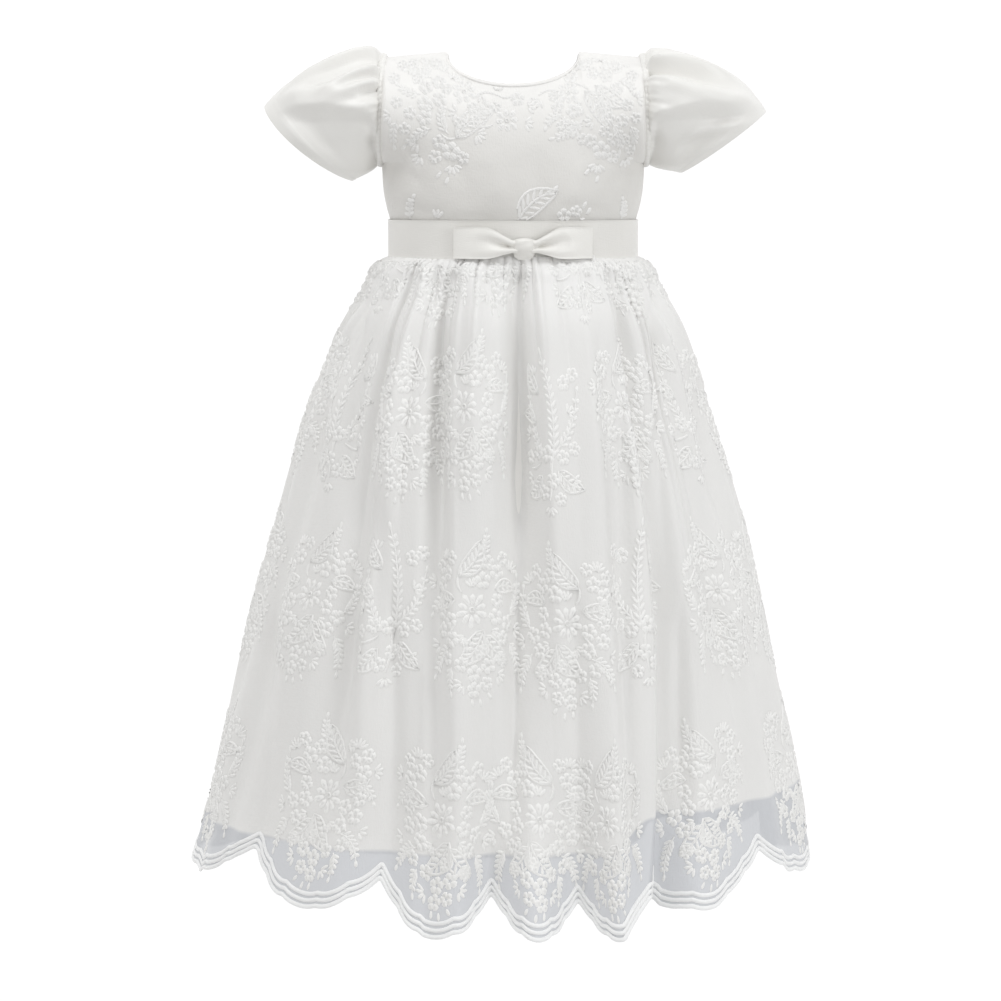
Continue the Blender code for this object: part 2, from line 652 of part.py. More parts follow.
def panel_lines(start, end, spacing):
    """Columns of one panel, its seam edges drawn in by half a gap."""
    lines = lines_between(start, end, spacing)
    lines[0] += 0.012
    lines[-1] -= 0.012
    return lines


for name, start, end in (
    ("skirt_lace_front", SIDE_LEFT, SIDE_RIGHT),
    ("skirt_lace_back", SIDE_RIGHT, FOLD_COUNT),
):
    cloth(name, lace_surface, panel_lines(start, end, 4.8), LACE_ROWS, SHEER_LACE, SKIRT_WALL, -1.0)

for name, start, end in (
    ("skirt_lining_front", SIDE_LEFT, SIDE_RIGHT),
    ("skirt_lining_back", SIDE_RIGHT, FOLD_COUNT),
):
    cloth(
        name,
        lining_surface,
        panel_lines(start, end, 60.0),
        (0.0, 0.05, 0.20, 0.50, 1.0),
        SATIN,
        SKIRT_WALL,
        -1.0,
    )


# ---------------------------------------------------------------- buttons
def button_mesh():
    """A domed button, turned about Z with its flat back at Z = 0."""
    profile = ((1.0, 0.0), (1.0, 0.30), (0.84, 0.66), (0.48, 0.93))
    steps = 12
    mesh = bmesh.new()
    rings = [
        [
            mesh.verts.new(
                (
                    BUTTON_RADIUS * r * math.cos(2 * math.pi * i / steps),
                    BUTTON_RADIUS * r * math.sin(2 * math.pi * i / steps),
                    BUTTON_HEIGHT * h,
                )
            )
            for i in range(steps)
        ]
        for r, h in profile
    ]
    crown = mesh.verts.new((0.0, 0.0, BUTTON_HEIGHT))
    mesh.faces.new(rings[0][::-1])
    for low, high in zip(rings, rings[1:]):
        for i in range(steps):
            k = (i + 1) % steps
            mesh.faces.new((low[i], low[k], high[k], high[i]))
    for i in range(steps):
        mesh.faces.new((rings[-1][i], rings[-1][(i + 1) % steps], crown))
    bmesh.ops.recalc_face_normals(mesh, faces=mesh.faces)
    data = bpy.data.meshes.new("button")
    mesh.to_mesh(data)
    mesh.free()
    data.materials.append(BUTTON_SATIN)
    data.shade_smooth()
    data.set_sharp_from_angle(angle=math.radians(60))
    return data


def height_to_v(surface, angle, z):
    v = np.linspace(0.0, 2.0, 801)
    heights = surface(np.full_like(v, angle), v)[:, 2]
    return float(np.interp(z, heights, v))


BACK = bodice_surface(False)
button = button_mesh()
for number, z in enumerate(BUTTON_Z, 1):
    angle = math.asin(BUTTON_SIDE / ARM_X_TOP)
    v = height_to_v(BACK, angle, z)
    at = BACK(np.array([angle]), np.array([v]))[0]
    out = normals_of(BACK, np.array([angle]), np.array([v]), -1.0)[0]
    made = bpy.data.objects.new(f"button_{number}", button)
    made.location = Vector(at) + Vector((0.0, GAP / 2, 0.0)) + Vector(out) * 0.0005
    made.rotation_euler = Vector(out).to_track_quat("Z", "Y").to_euler()
    bpy.context.scene.collection.objects.link(made)
    made.parent = gown
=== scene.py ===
"""The looks of a baby's christening gown: satin, ribbon and sheer embroidered lace as thin
shells on the gown's fixed frame, with their folds, gathers, cords, embroidery and stitching.

Metres, +Z up. The gown faces -Y and +X is the viewer's right."""

import math

import bpy
import numpy as np
from mathutils import Matrix, Vector


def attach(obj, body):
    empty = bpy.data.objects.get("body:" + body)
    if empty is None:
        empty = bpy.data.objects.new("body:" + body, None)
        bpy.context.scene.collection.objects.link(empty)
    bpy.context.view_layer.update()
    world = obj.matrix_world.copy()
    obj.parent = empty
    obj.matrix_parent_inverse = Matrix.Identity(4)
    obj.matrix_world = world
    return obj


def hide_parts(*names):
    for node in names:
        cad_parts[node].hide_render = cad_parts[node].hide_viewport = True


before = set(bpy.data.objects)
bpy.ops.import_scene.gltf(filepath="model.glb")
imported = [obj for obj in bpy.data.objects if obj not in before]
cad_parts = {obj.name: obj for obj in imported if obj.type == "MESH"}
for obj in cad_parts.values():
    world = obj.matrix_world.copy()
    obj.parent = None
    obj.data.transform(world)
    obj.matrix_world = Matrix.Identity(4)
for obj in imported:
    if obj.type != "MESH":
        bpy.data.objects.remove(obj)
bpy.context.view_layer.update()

# ================================================================ sizes shared with the frame
WALL = 0.0012
GAP = 0.0003

WAIST_Z = -0.1600
UNDERARM_Z = -0.0875
SHOULDER_NECK_Z = -0.0024
SHOULDER_ARM_Z = -0.0066
ARM_X_TOP, ARM_X_LOW = 0.0985, 0.1012
ARM_DEPTH_FRONT, ARM_DEPTH_BACK = 0.048, 0.044
NECK_HALF = 0.0508
NECK_FRONT = (0.0560, -0.0282)
NECK_BACK = (0.0540, -0.0268)
BODICE = (  # z, half width, front, back
    (-0.1600, 0.0946, 0.0719, 0.0690),
    (-0.1310, 0.0948, 0.0726, 0.0696),
    (-0.1225, 0.0972, 0.0745, 0.0705),
    (-0.1120, 0.0994, 0.0756, 0.0712),
    (-0.0875, 0.1012, 0.0742, 0.0716),
)
SASH_Z = (-0.1598, -0.1308)
SASH_HALF, SASH_FRONT, SASH_BACK = 0.0965, 0.0745, 0.0713
SKIRT = (  # z, left, right, lining inset
    (-0.1603, 0.0944, 0.0944, 0.0026),
    (-0.1650, 0.1030, 0.1026, 0.0070),
    (-0.1775, 0.1105, 0.1103, 0.0100),
    (-0.1900, 0.1170, 0.1163, 0.0118),
    (-0.2084, 0.1280, 0.1266, 0.0137),
    (-0.2394, 0.1416, 0.1390, 0.0152),
    (-0.2705, 0.1549, 0.1478, 0.0157),
    (-0.3173, 0.1690, 0.1626, 0.0157),
    (-0.3642, 0.1817, 0.1768, 0.0152),
    (-0.4271, 0.1986, 0.1920, 0.0147),
    (-0.5061, 0.2178, 0.2090, 0.0137),
    (-0.5857, 0.2362, 0.2245, 0.0127),
    (-0.6480, 0.2530, 0.2316, 0.0120),
)
WAIST_FRONT, WAIST_BACK = 0.0717, 0.0688
HEM_FRONT, HEM_BACK = 0.1990, 0.1960
LACE_HEM_Z = -0.6480
HEM_RISE = (  # angle, and how much higher in millimetres the hem hangs there than in front
    (-90.0, 11.0), (-78.0, 14.0), (-68.0, 19.0), (-57.5, 24.0), (-46.0, 14.5), (-36.0, 10.0),
    (-24.5, 13.0), (-15.0, -2.0), (-4.0, 3.0), (4.0, 0.0), (13.0, -3.0), (19.0, -2.5),
    (20.5, 2.5), (22.0, 10.0), (23.6, 14.0), (25.0, 12.0), (29.0, 5.3), (32.0, 10.0), (39.0, 12.0),
    (46.0, 19.0), (57.0, 22.0), (62.0, 19.0), (70.0, 17.0),
    (80.0, 15.5), (90.0, 14.0), (130.0, 10.0), (180.0, 2.0), (230.0, 10.0), (270.0, 11.0),
)
LINING_HEM_Z, LINING_LIFT = -0.5955, 0.0245
LINING_FOLD = 0.45
FOLDS = (  # angle at waist, half, hem; reach at waist, half, hem
    (-90.0, -90.0, -90.0, 2.0, 4.0, 4.0),
    (-82.0, -81.0, -80.0, -2.0, -3.0, -1.0),
    (-73.0, -72.0, -71.0, 2.0, 3.0, 1.5),
    (-67.0, -65.0, -65.5, -1.0, -2.0, -0.5),
    (-60.0, -57.0, -60.0, 2.0, 4.0, 2.0),
    (-51.0, -47.0, -56.5, -1.0, 1.0, -4.0),
    (-44.0, -38.0, -42.0, -2.0, -6.0, 1.0),
    (-38.0, -33.0, -32.0, 2.0, 5.0, 6.0),
    (-31.0, -24.0, -23.5, -1.0, -4.0, -8.0),
    (-25.5, -17.5, -16.0, -4.0, -8.0, 4.0),
    (-20.0, -12.5, -9.5, 3.0, 6.0, 13.0),
    (-8.0, -5.0, -4.0, -1.0, 0.0, -17.0),
    (2.2, 3.0, 3.6, -5.0, -13.0, 17.0),
    (12.0, 10.5, 13.0, 2.0, 5.0, -18.0),
    (24.0, 20.5, 19.2, 3.0, 9.0, 17.0),
    (30.0, 24.5, 21.2, -2.0, -2.0, 14.0),
    (36.0, 31.0, 23.6, 3.0, 8.0, 12.0),
    (41.0, 35.0, 26.8, -3.0, -8.0, -17.0),
    (49.0, 43.0, 36.0, 2.0, 5.0, 7.0),
    (56.0, 52.0, 55.6, -1.0, -3.0, -5.0),
    (63.0, 59.0, 61.5, 2.0, 3.0, 2.0),
    (70.0, 67.0, 68.0, -1.0, -2.0, -0.5),
    (80.0, 79.0, 77.0, 1.0, 2.0, 1.5),
    (90.0, 90.0, 88.0, 1.0, 2.0, 2.0),
    (96.0, 97.0, 97.0, -2.0, -4.0, -5.0),
    (104.0, 105.0, 106.0, 2.0, 6.0, 9.0),
    (111.0, 113.0, 114.0, -3.0, -6.0, -10.0),
    (120.0, 121.0, 122.0, 3.0, 7.0, 11.0),
    (127.0, 130.0, 131.0, -2.0, -5.0, -9.0),
    (136.0, 137.0, 138.0, 2.0, 5.0, 9.0),
    (143.0, 145.0, 147.0, -3.0, -8.0, -13.0),
    (152.0, 153.0, 154.0, 3.0, 8.0, 13.0),
    (159.0, 161.0, 162.0, -2.0, -6.0, -11.0),
    (166.0, 168.0, 169.0, 2.0, 6.0, 11.0),
    (175.0, 176.0, 177.0, -3.0, -9.0, -14.0),
    (184.0, 184.0, 185.0, 2.0, 8.0, 13.0),
    (191.0, 192.0, 193.0, -2.0, -5.0, -11.0),
    (200.0, 200.0, 201.0, 3.0, 7.0, 12.0),
    (208.0, 209.0, 209.0, -3.0, -7.0, -12.0),
    (217.0, 217.0, 217.0, 2.0, 6.0, 10.0),
    (224.0, 225.0, 225.0, -2.0, -5.0, -9.0),
    (233.0, 234.0, 234.0, 3.0, 7.0, 10.0),
    (242.0, 243.0, 243.0, -2.0, -6.0, -9.0),
    (251.0, 251.0, 251.0, 2.0, 5.0, 8.0),
    (260.0, 261.0, 261.0, -2.0, -4.0, -7.0),
)
CUSPS = (
    -57.5, -24.7, -4.0, 13.0, 25.0, 57.0, 97.0, 122.0, 147.0, 169.0, 193.0, 217.0, 238.5, 261.0
)
SCALLOP_DEPTH = 0.0225
SIDE_LEFT, SIDE_RIGHT = 0, 23
SLEEVES = (
    ("sleeve_left", -1.0, 0.1572, -0.0722, 0.0440, 0.757, 0.653, 0.0055, 0.0100),
    ("sleeve_right", 1.0, 0.1621, -0.0714, 0.0400, 0.808, 0.588, 0.0085, 0.0020),
)
CUFF_DEPTH = 0.0400
SLEEVE_SECTIONS = (
    (0.00, 0.0000, 0.0000, 0.0000),
    (0.05, 0.0060, 0.0030, 0.0000),
    (0.14, 0.0105, 0.0060, 0.0006),
    (0.30, 0.0118, 0.0085, 0.0012),
    (0.50, 0.0095, 0.0085, 0.0012),
    (0.72, 0.0060, 0.0060, 0.0008),
    (0.90, 0.0020, 0.0025, 0.0003),
    (1.00, 0.0000, 0.0005, 0.0000),
)
SLEEVE_PLEATS = (
    (-62.0, 9.0, 0.0016, 0.35),
    (-41.0, 8.0, 0.0024, 0.60),
    (-20.0, 9.0, 0.0020, 0.45),
    (3.0, 9.0, 0.0026, 0.65),
    (26.0, 9.0, 0.0018, 0.50),
    (47.0, 8.0, 0.0024, 0.60),
    (68.0, 9.0, 0.0015, 0.35),
)
BOW_CENTRE, BOW_REACH, BOW_HALF_HEIGHT, BOW_Z = 0.0078, 0.0520, 0.0117, -0.1474
KNOT_Z, KNOT_HALF, KNOT_HALF_HEIGHT = -0.1516, 0.0090, 0.0080
BUTTON_Z = (-0.0365, -0.0580, -0.0795, -0.1010, -0.1215)
BUTTON_RADIUS, BUTTON_HEIGHT, BUTTON_SIDE = 0.0045, 0.0031, 0.0030

# ---------------------------------------------------------------- sizes of the looks only
SMALL_LOBES = 5                # little lobes along each scallop
SMALL_LOBE_DEPTH = 0.0025
CORDS = (  # distance in from the scalloped edge, width, height, all in millimetres, and blur
    (1.7, 3.4, 1.2, 2.2),
    (6.5, 3.0, 1.0, 1.6),
    (11.4, 3.2, 1.1, 1.0),
)
ROOM_FRONT, ROOM_BACK = 0.575, 1.06   # how bright the white room is before and behind the gown
random = np.random.default_rng(20)


# ================================================================ materials
SHEER_FROM, SHEER_TO = -0.5898, -0.5926   # heights between which the lining ends behind the lace
SHEER_X = (0.068, 0.101)       # and from where to where its hem rises to the viewer's right


def nodes_of(material):
    material.use_nodes = True
    return material.node_tree.nodes, material.node_tree.links


def cloth_material(name, colour, roughness, sheen=0.0, alpha=1.0, weave=0.0, weave_scale=(1, 1),
                   wrinkle=0.0, wrinkle_scale=30.0, tint=0.0, coat=0.0, subsurface=0.0,
                   specular=0.5, thread=0.0):
    """A Principled cloth: weave bump along the cloth's own UV in metres, soft wrinkles and a
    slight unevenness of tone."""
    material = bpy.data.materials.new(name)
    nodes, links = nodes_of(material)
    shader = nodes["Principled BSDF"]
    shader.inputs["Base Color"].default_value = (*colour, 1.0)
    shader.inputs["Roughness"].default_value = roughness
    shader.inputs["Sheen Weight"].default_value = sheen
    shader.inputs["Sheen Roughness"].default_value = 0.45
    shader.inputs["Specular IOR Level"].default_value = specular
    shader.inputs["Coat Weight"].default_value = coat
    shader.inputs["Coat Roughness"].default_value = 0.45
    shader.inputs["Alpha"].default_value = alpha
    if subsurface:
        shader.inputs["Subsurface Weight"].default_value = subsurface
        shader.inputs["Subsurface Scale"].default_value = 0.004
        shader.inputs["Subsurface Radius"].default_value = (1.0, 0.95, 0.9)
    uv = nodes.new("ShaderNodeUVMap")
    uv.uv_map = "cloth"
    place = nodes.new("ShaderNodeTexCoord")
    if tint:
        cloud = nodes.new("ShaderNodeTexNoise")
        cloud.inputs["Scale"].default_value = 22.0
        cloud.inputs["Detail"].default_value = 3.0
        links.new(place.outputs["Object"], cloud.inputs["Vector"])
        ramp = nodes.new("ShaderNodeValToRGB")
        ramp.color_ramp.elements[0].position = 0.35
        ramp.color_ramp.elements[1].position = 0.68
        low = tuple(c * (1 - tint * k) for c, k in zip(colour, (1.0, 1.08, 1.3)))
        ramp.color_ramp.elements[0].color = (*low, 1.0)
        ramp.color_ramp.elements[1].color = (*colour, 1.0)
        links.new(cloud.outputs["Fac"], ramp.inputs["Fac"])
        links.new(ramp.outputs["Color"], shader.inputs["Base Color"])
    last = None

    def bump(height, strength, distance):
        nonlocal last
        node = nodes.new("ShaderNodeBump")
        node.inputs["Strength"].default_value = strength
        node.inputs["Distance"].default_value = distance
        links.new(height, node.inputs["Height"])
        if last is not None:
            links.new(last.outputs["Normal"], node.inputs["Normal"])
        last = node

    if wrinkle:
        soft = nodes.new("ShaderNodeTexNoise")
        soft.inputs["Scale"].default_value = wrinkle_scale
        soft.inputs["Detail"].default_value = 2.0
        soft.inputs["Roughness"].default_value = 0.45
        links.new(place.outputs["Object"], soft.inputs["Vector"])
        bump(soft.outputs["Fac"], wrinkle, 0.004)
    if weave:
        stretch = nodes.new("ShaderNodeMapping")
        stretch.inputs["Scale"].default_value = (weave_scale[0], weave_scale[1], 1.0)
        links.new(uv.outputs["UV"], stretch.inputs["Vector"])
        yarn = nodes.new("ShaderNodeTexNoise")
        yarn.inputs["Scale"].default_value = 1.0
        yarn.inputs["Detail"].default_value = 2.0
        links.new(stretch.outputs["Vector"], yarn.inputs["Vector"])
        bump(yarn.outputs["Fac"], weave, 0.0006)
        cross = nodes.new("ShaderNodeMapping")
        cross.inputs["Scale"].default_value = (weave_scale[1] * 0.7, weave_scale[0] * 0.7, 1.0)
        links.new(uv.outputs["UV"], cross.inputs["Vector"])
        weft = nodes.new("ShaderNodeTexNoise")
        weft.inputs["Scale"].default_value = 1.0
        weft.inputs["Detail"].default_value = 1.0
        links.new(cross.outputs["Vector"], weft.inputs["Vector"])
        bump(weft.outputs["Fac"], weave * 0.6, 0.0005)
    if thread:
        twist = nodes.new("ShaderNodeTexWave")
        twist.wave_type = "BANDS"
        twist.bands_direction = "DIAGONAL"
        twist.inputs["Scale"].default_value = 260.0
        twist.inputs["Distortion"].default_value = 1.5
        twist.inputs["Detail"].default_value = 1.0
        links.new(uv.outputs["UV"], twist.inputs["Vector"])
        bump(twist.outputs["Fac"], thread, 0.0003)
    if last is not None:
        links.new(last.outputs["Normal"], shader.inputs["Normal"])
    return material


NET = cloth_material("lace_net", (0.85, 0.85, 0.845), 0.62, sheen=0.15, alpha=0.90,
                     weave=0.35, weave_scale=(900, 260))
# the net is painted darker and cooler below the lining's hem, which hangs higher on the viewer's right: painted
# shade for the shadowed inside and back layer seen through it; it keeps its plain white where the lining backs it
net_nodes, net_links = nodes_of(NET)
net_place = net_nodes.new("ShaderNodeTexCoord")
net_split = net_nodes.new("ShaderNodeSeparateXYZ")
net_links.new(net_place.outputs["Object"], net_split.inputs["Vector"])
net_lift = net_nodes.new("ShaderNodeMapRange")
net_lift.interpolation_type = "SMOOTHSTEP"
net_lift.inputs["From Min"].default_value = SHEER_X[0]
net_lift.inputs["From Max"].default_value = SHEER_X[1]
net_lift.inputs["To Min"].default_value = 0.0
net_lift.inputs["To Max"].default_value = LINING_LIFT + 0.0015
net_links.new(net_split.outputs["X"], net_lift.inputs["Value"])
net_above = net_nodes.new("ShaderNodeMath")
net_above.operation = "SUBTRACT"
net_links.new(net_split.outputs["Z"], net_above.inputs[0])
net_links.new(net_lift.outputs["Result"], net_above.inputs[1])
net_span = net_nodes.new("ShaderNodeMapRange")
net_span.inputs["From Min"].default_value = SHEER_TO
net_span.inputs["From Max"].default_value = SHEER_FROM
net_links.new(net_above.outputs["Value"], net_span.inputs["Value"])
net_painted_shade_ramp = net_nodes.new("ShaderNodeValToRGB")
# painted shade: the darker, cooler colour of the net below the lining's hem
net_painted_shade_ramp.color_ramp.elements[0].color = (0.60, 0.61, 0.632, 1.0)
net_painted_shade_ramp.color_ramp.elements[1].color = (0.835, 0.827, 0.809, 1.0)
net_links.new(net_span.outputs["Result"], net_painted_shade_ramp.inputs["Fac"])
# the net's colour is lighter towards the waist
net_height_blend = net_nodes.new("ShaderNodeMapRange")
net_height_blend.interpolation_type = "SMOOTHSTEP"
net_height_blend.inputs["From Min"].default_value = -0.222
net_height_blend.inputs["From Max"].default_value = -0.176
net_links.new(net_split.outputs["Z"], net_height_blend.inputs["Value"])
net_top = net_nodes.new("ShaderNodeMix")
net_top.data_type = "RGBA"
net_top.inputs["B"].default_value = (0.90, 0.892, 0.876, 1.0)
net_links.new(net_height_blend.outputs["Result"], net_top.inputs["Factor"])
net_links.new(net_painted_shade_ramp.outputs["Color"], net_top.inputs["A"])
net_links.new(net_top.outputs["Result"], net_nodes["Principled BSDF"].inputs["Base Color"])
SATIN = cloth_material("satin", (0.815, 0.805, 0.778), 0.42, sheen=0.15, weave=0.22,
                       weave_scale=(1500, 180), wrinkle=0.35, wrinkle_scale=26.0, tint=0.02)
LINING = cloth_material("lining_satin", (0.88, 0.868, 0.84), 0.45, sheen=0.10, weave=0.2,
                        weave_scale=(1500, 180), wrinkle=0.35, wrinkle_scale=16.0, tint=0.02)
BODICE_SATIN = cloth_material("lace_on_satin", (0.735, 0.722, 0.695), 0.50, sheen=0.2,
                              weave=0.4, weave_scale=(900, 300), wrinkle=0.4,
                              wrinkle_scale=34.0)
# the lace over the bodice's satin is lighter over the chest and shoulders and darker towards the waist
lace_nodes, lace_links = nodes_of(BODICE_SATIN)
lace_place = lace_nodes.new("ShaderNodeTexCoord")
lace_split = lace_nodes.new("ShaderNodeSeparateXYZ")
lace_links.new(lace_place.outputs["Object"], lace_split.inputs["Vector"])
lace_height_blend = lace_nodes.new("ShaderNodeMapRange")
lace_height_blend.interpolation_type = "SMOOTHSTEP"
lace_height_blend.inputs["From Min"].default_value = -0.108
lace_height_blend.inputs["From Max"].default_value = -0.026
lace_links.new(lace_split.outputs["Z"], lace_height_blend.inputs["Value"])
lace_tone = lace_nodes.new("ShaderNodeMix")
lace_tone.data_type = "RGBA"
lace_tone.inputs["A"].default_value = (0.70, 0.686, 0.658, 1.0)
lace_tone.inputs["B"].default_value = (0.825, 0.813, 0.79, 1.0)
lace_links.new(lace_height_blend.outputs["Result"], lace_tone.inputs["Factor"])
lace_links.new(lace_tone.outputs["Result"], lace_nodes["Principled BSDF"].inputs["Base Color"])
# the sash and the bow share one ribbon: the sash's copy is painted darker as painted shade, the bow's copy lighter
# as painted light, for how each faces the lamps
SASH_RIBBON_PAINTED_SHADE = cloth_material("ribbon", (0.775, 0.762, 0.73), 0.40, sheen=0.15, weave=0.35,
                        weave_scale=(160, 1900), wrinkle=0.18, wrinkle_scale=45.0, tint=0.015)
BOW_RIBBON_PAINTED_LIGHT = cloth_material("bow_ribbon_painted_light", (0.83, 0.817, 0.782), 0.40, sheen=0.15, weave=0.35,
                            weave_scale=(160, 1900), wrinkle=0.18, wrinkle_scale=45.0, tint=0.015)
# one white thread in two copies: painted darker on the bodice as painted shade and lighter on the skirt as painted
# light
BODICE_THREAD_PAINTED_SHADE = cloth_material("embroidery_thread", (0.825, 0.816, 0.798), 0.48, sheen=0.25, thread=0.35)
SKIRT_THREAD_PAINTED_LIGHT = cloth_material("skirt_embroidery_thread_painted_light", (0.875, 0.868, 0.85), 0.5, sheen=0.2,
                              thread=0.35)
CORD_THREAD = cloth_material("cord_thread", (0.89, 0.89, 0.885), 0.5, sheen=0.25, thread=0.5)
BUTTON = cloth_material("button_satin", (0.80, 0.79, 0.77), 0.36, sheen=0.15, weave=0.25,
                        weave_scale=(1500, 300))


# ================================================================ tables, meshes and walls
def column(table, z, index):
    """A value of a table at height z, smooth between its rows."""
    heights = np.array([row[0] for row in table])
    values = np.array([row[index] for row in table])
    if heights[0] > heights[-1]:
        heights, values = heights[::-1], values[::-1]
    slopes = np.gradient(values, heights)
    z = np.clip(np.asarray(z, float), heights[0], heights[-1])
    at = np.clip(np.searchsorted(heights, z) - 1, 0, len(heights) - 2)
    step = heights[at + 1] - heights[at]
    t = (z - heights[at]) / step
    return (
        values[at] * (1 + 2 * t) * (1 - t) ** 2
        + slopes[at] * step * t * (1 - t) ** 2
        + values[at + 1] * t * t * (3 - 2 * t)
        - slopes[at + 1] * step * t * t * (1 - t)
    )


def smooth(x, low=0.0, high=1.0):
    t = np.clip((x - low) / (high - low), 0.0, 1.0)
    return t * t * (3 - 2 * t)


def normals_of(surface, u, v, outward, eu=1e-4, ev=1e-4):
    across = surface(u + eu, v) - surface(u - eu, v)
    along = surface(u, v + ev) - surface(u, v - ev)
    normal = np.cross(across, along)
    normal /= np.maximum(np.linalg.norm(normal, axis=-1, keepdims=True), 1e-12)
    return normal * outward


def grid_faces(rows, columns, closed=False):
    j, i = np.meshgrid(
        np.arange(rows - 1), np.arange(columns if closed else columns - 1), indexing="ij"
    )
    k = (i + 1) % columns
    return np.stack(
        [j * columns + i, j * columns + k, (j + 1) * columns + k, (j + 1) * columns + i], -1
    ).reshape(-1, 4)


def piece_of(name, points, faces, material, uvs=None, sharp=None, triangles=None):
    """A smooth-shaded object that rides on the gown, with the cloth's own UV in metres."""
    data = bpy.data.meshes.new(name)
    every = faces.tolist() + (triangles.tolist() if triangles is not None else [])
    data.from_pydata(np.asarray(points, float).reshape(-1, 3).tolist(), [], every)
    if uvs is not None:
        layer = data.uv_layers.new(name="cloth")
        at = np.empty(len(data.loops), np.int32)
        data.loops.foreach_get("vertex_index", at)
        layer.data.foreach_set("uv", np.asarray(uvs, np.float32).reshape(-1, 2)[at].ravel())
    data.materials.append(material)
    data.shade_smooth()
    if sharp:
        data.set_sharp_from_angle(angle=math.radians(sharp))
    made = bpy.data.objects.new(name, data)
    bpy.context.scene.collection.objects.link(made)
    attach(made, "root")
    return made


def wall_piece(name, outer, inner, material, uvs, closed=False, flip=False, sharp=55):
    """A closed thin wall from two grids of points."""
    rows, columns = outer.shape[:2]
    n = rows * columns
    face = grid_faces(rows, columns, closed)
    faces = [face, face[:, ::-1] + n]
    i = np.arange(columns if closed else columns - 1)
    k = (i + 1) % columns
    top, end = (rows - 1) * columns, n
    faces.append(np.stack([k, i, i + n, k + n], -1))
    faces.append(np.stack([top + i, top + k, top + k + end, top + i + end], -1))
    if not closed:
        j = np.arange(rows - 1) * columns
        faces.append(np.stack([j, j + columns, j + columns + n, j + n], -1))
        j = j + columns - 1
        faces.append(np.stack([j + columns, j, j + n, j + columns + n], -1))
    faces = np.concatenate(faces)
    if flip:
        faces = faces[:, ::-1]
    return piece_of(
        name,
        np.concatenate([outer.reshape(-1, 3), inner.reshape(-1, 3)]),
        faces,
        material,
        np.concatenate([uvs.reshape(-1, 2)] * 2),
        sharp=sharp,
    )


def ribs_along(path, normal, side, width, height, closed=False, taper=True):
    """A rounded raised band along a path: its points, faces and UVs, five points across."""
    across = np.array([-0.5, -0.34, 0.0, 0.34, 0.5])
    lift = np.array([0.0, 0.72, 1.0, 0.72, 0.0])
    count = len(path)
    share = np.ones(count)
    if taper and not closed:
        ends = np.minimum(np.arange(count), np.arange(count)[::-1])
        share = np.clip(0.35 + 0.4 * ends, 0, 1)
    points = (
        path[:, None, :]
        + side[:, None, :] * (across[None, :, None] * (width * share)[:, None, None])
        + normal[:, None, :] * (lift[None, :, None] * (height * share)[:, None, None])
    )
    run = np.concatenate([[0], np.cumsum(np.linalg.norm(np.diff(path, axis=0), axis=1))])
    uvs = np.stack(np.broadcast_arrays(across[None, :] * width, run[:, None]), -1)
    faces = grid_faces(count, 5)
    if closed:
        last = (count - 1) * 5
        i = np.arange(4)
        faces = np.concatenate([faces, np.stack([last + i, last + i + 1, i + 1, i], -1)])
    return points.reshape(-1, 3), faces, uvs.reshape(-1, 2)


def joined(name, parts, material):
    """One object from several (points, faces, uvs)."""
    points, faces, uvs, base = [], [], [], 0
    for p, f, w in parts:
        points.append(p)
        faces.append(f + base)
        uvs.append(w)
        base += len(p)
    return piece_of(
        name, np.concatenate(points), np.concatenate(faces), material, np.concatenate(uvs)
    )


def creased(points, normals, table, axes=(0, 2)):
    """Moves points along their normals by soft troughs and ridges. Each row of the table is a
    start and an end on two axes, a width, a rise (below 0 is a trough), and a bow sideways."""
    flat = points[..., list(axes)]
    shift = np.zeros(points.shape[:-1])
    for x0, y0, x1, y1, width, rise, bow in table:
        start, end = np.array([x0, y0]), np.array([x1, y1])
        line = end - start
        length = np.linalg.norm(line)
        line = line / length
        side = np.array([-line[1], line[0]])
        t = ((flat - start) @ line) / length
        off = (flat - start) @ side - bow * 4 * np.clip(t, 0, 1) * (1 - np.clip(t, 0, 1))
        along = smooth(t, -0.12, 0.22) * (1 - smooth(t, 0.62, 1.12))
        shift += rise * np.exp(-((off / width) ** 2)) * along
    return points + normals * shift[..., None]


# ================================================================ skirt
def growth(z):
    left = column(SKIRT, z, 1)
    return (left - SKIRT[0][1]) / (SKIRT[-1][1] - SKIRT[0][1])


def base_ring(angle, z, inset=0.0):
    turn = np.radians(angle)
    grown = growth(z)
    front = WAIST_FRONT + (HEM_FRONT - WAIST_FRONT) * grown
    back = WAIST_BACK + (HEM_BACK - WAIST_BACK) * grown
    wide = np.where(np.sin(turn) < 0, column(SKIRT, z, 1), column(SKIRT, z, 2)) - inset
    deep = np.where(np.cos(turn) > 0, front, back) - inset
    x, y = wide * np.sin(turn), -deep * np.cos(turn)
    nx, ny = np.sin(turn) / wide, -np.cos(turn) / deep
    size = np.hypot(nx, ny)
    return x, y, nx / size, ny / size


FOLD_ROWS = np.array(FOLDS)
FOLD_COUNT = len(FOLDS)


def along_skirt(values, z):
    t = np.clip((z - SKIRT[0][0]) / (LACE_HEM_Z - SKIRT[0][0]), 0.0, 1.0)
    top, half, hem = values
    return top * (1 - t) * (1 - 2 * t) + half * 4 * t * (1 - t) + hem * t * (2 * t - 1)


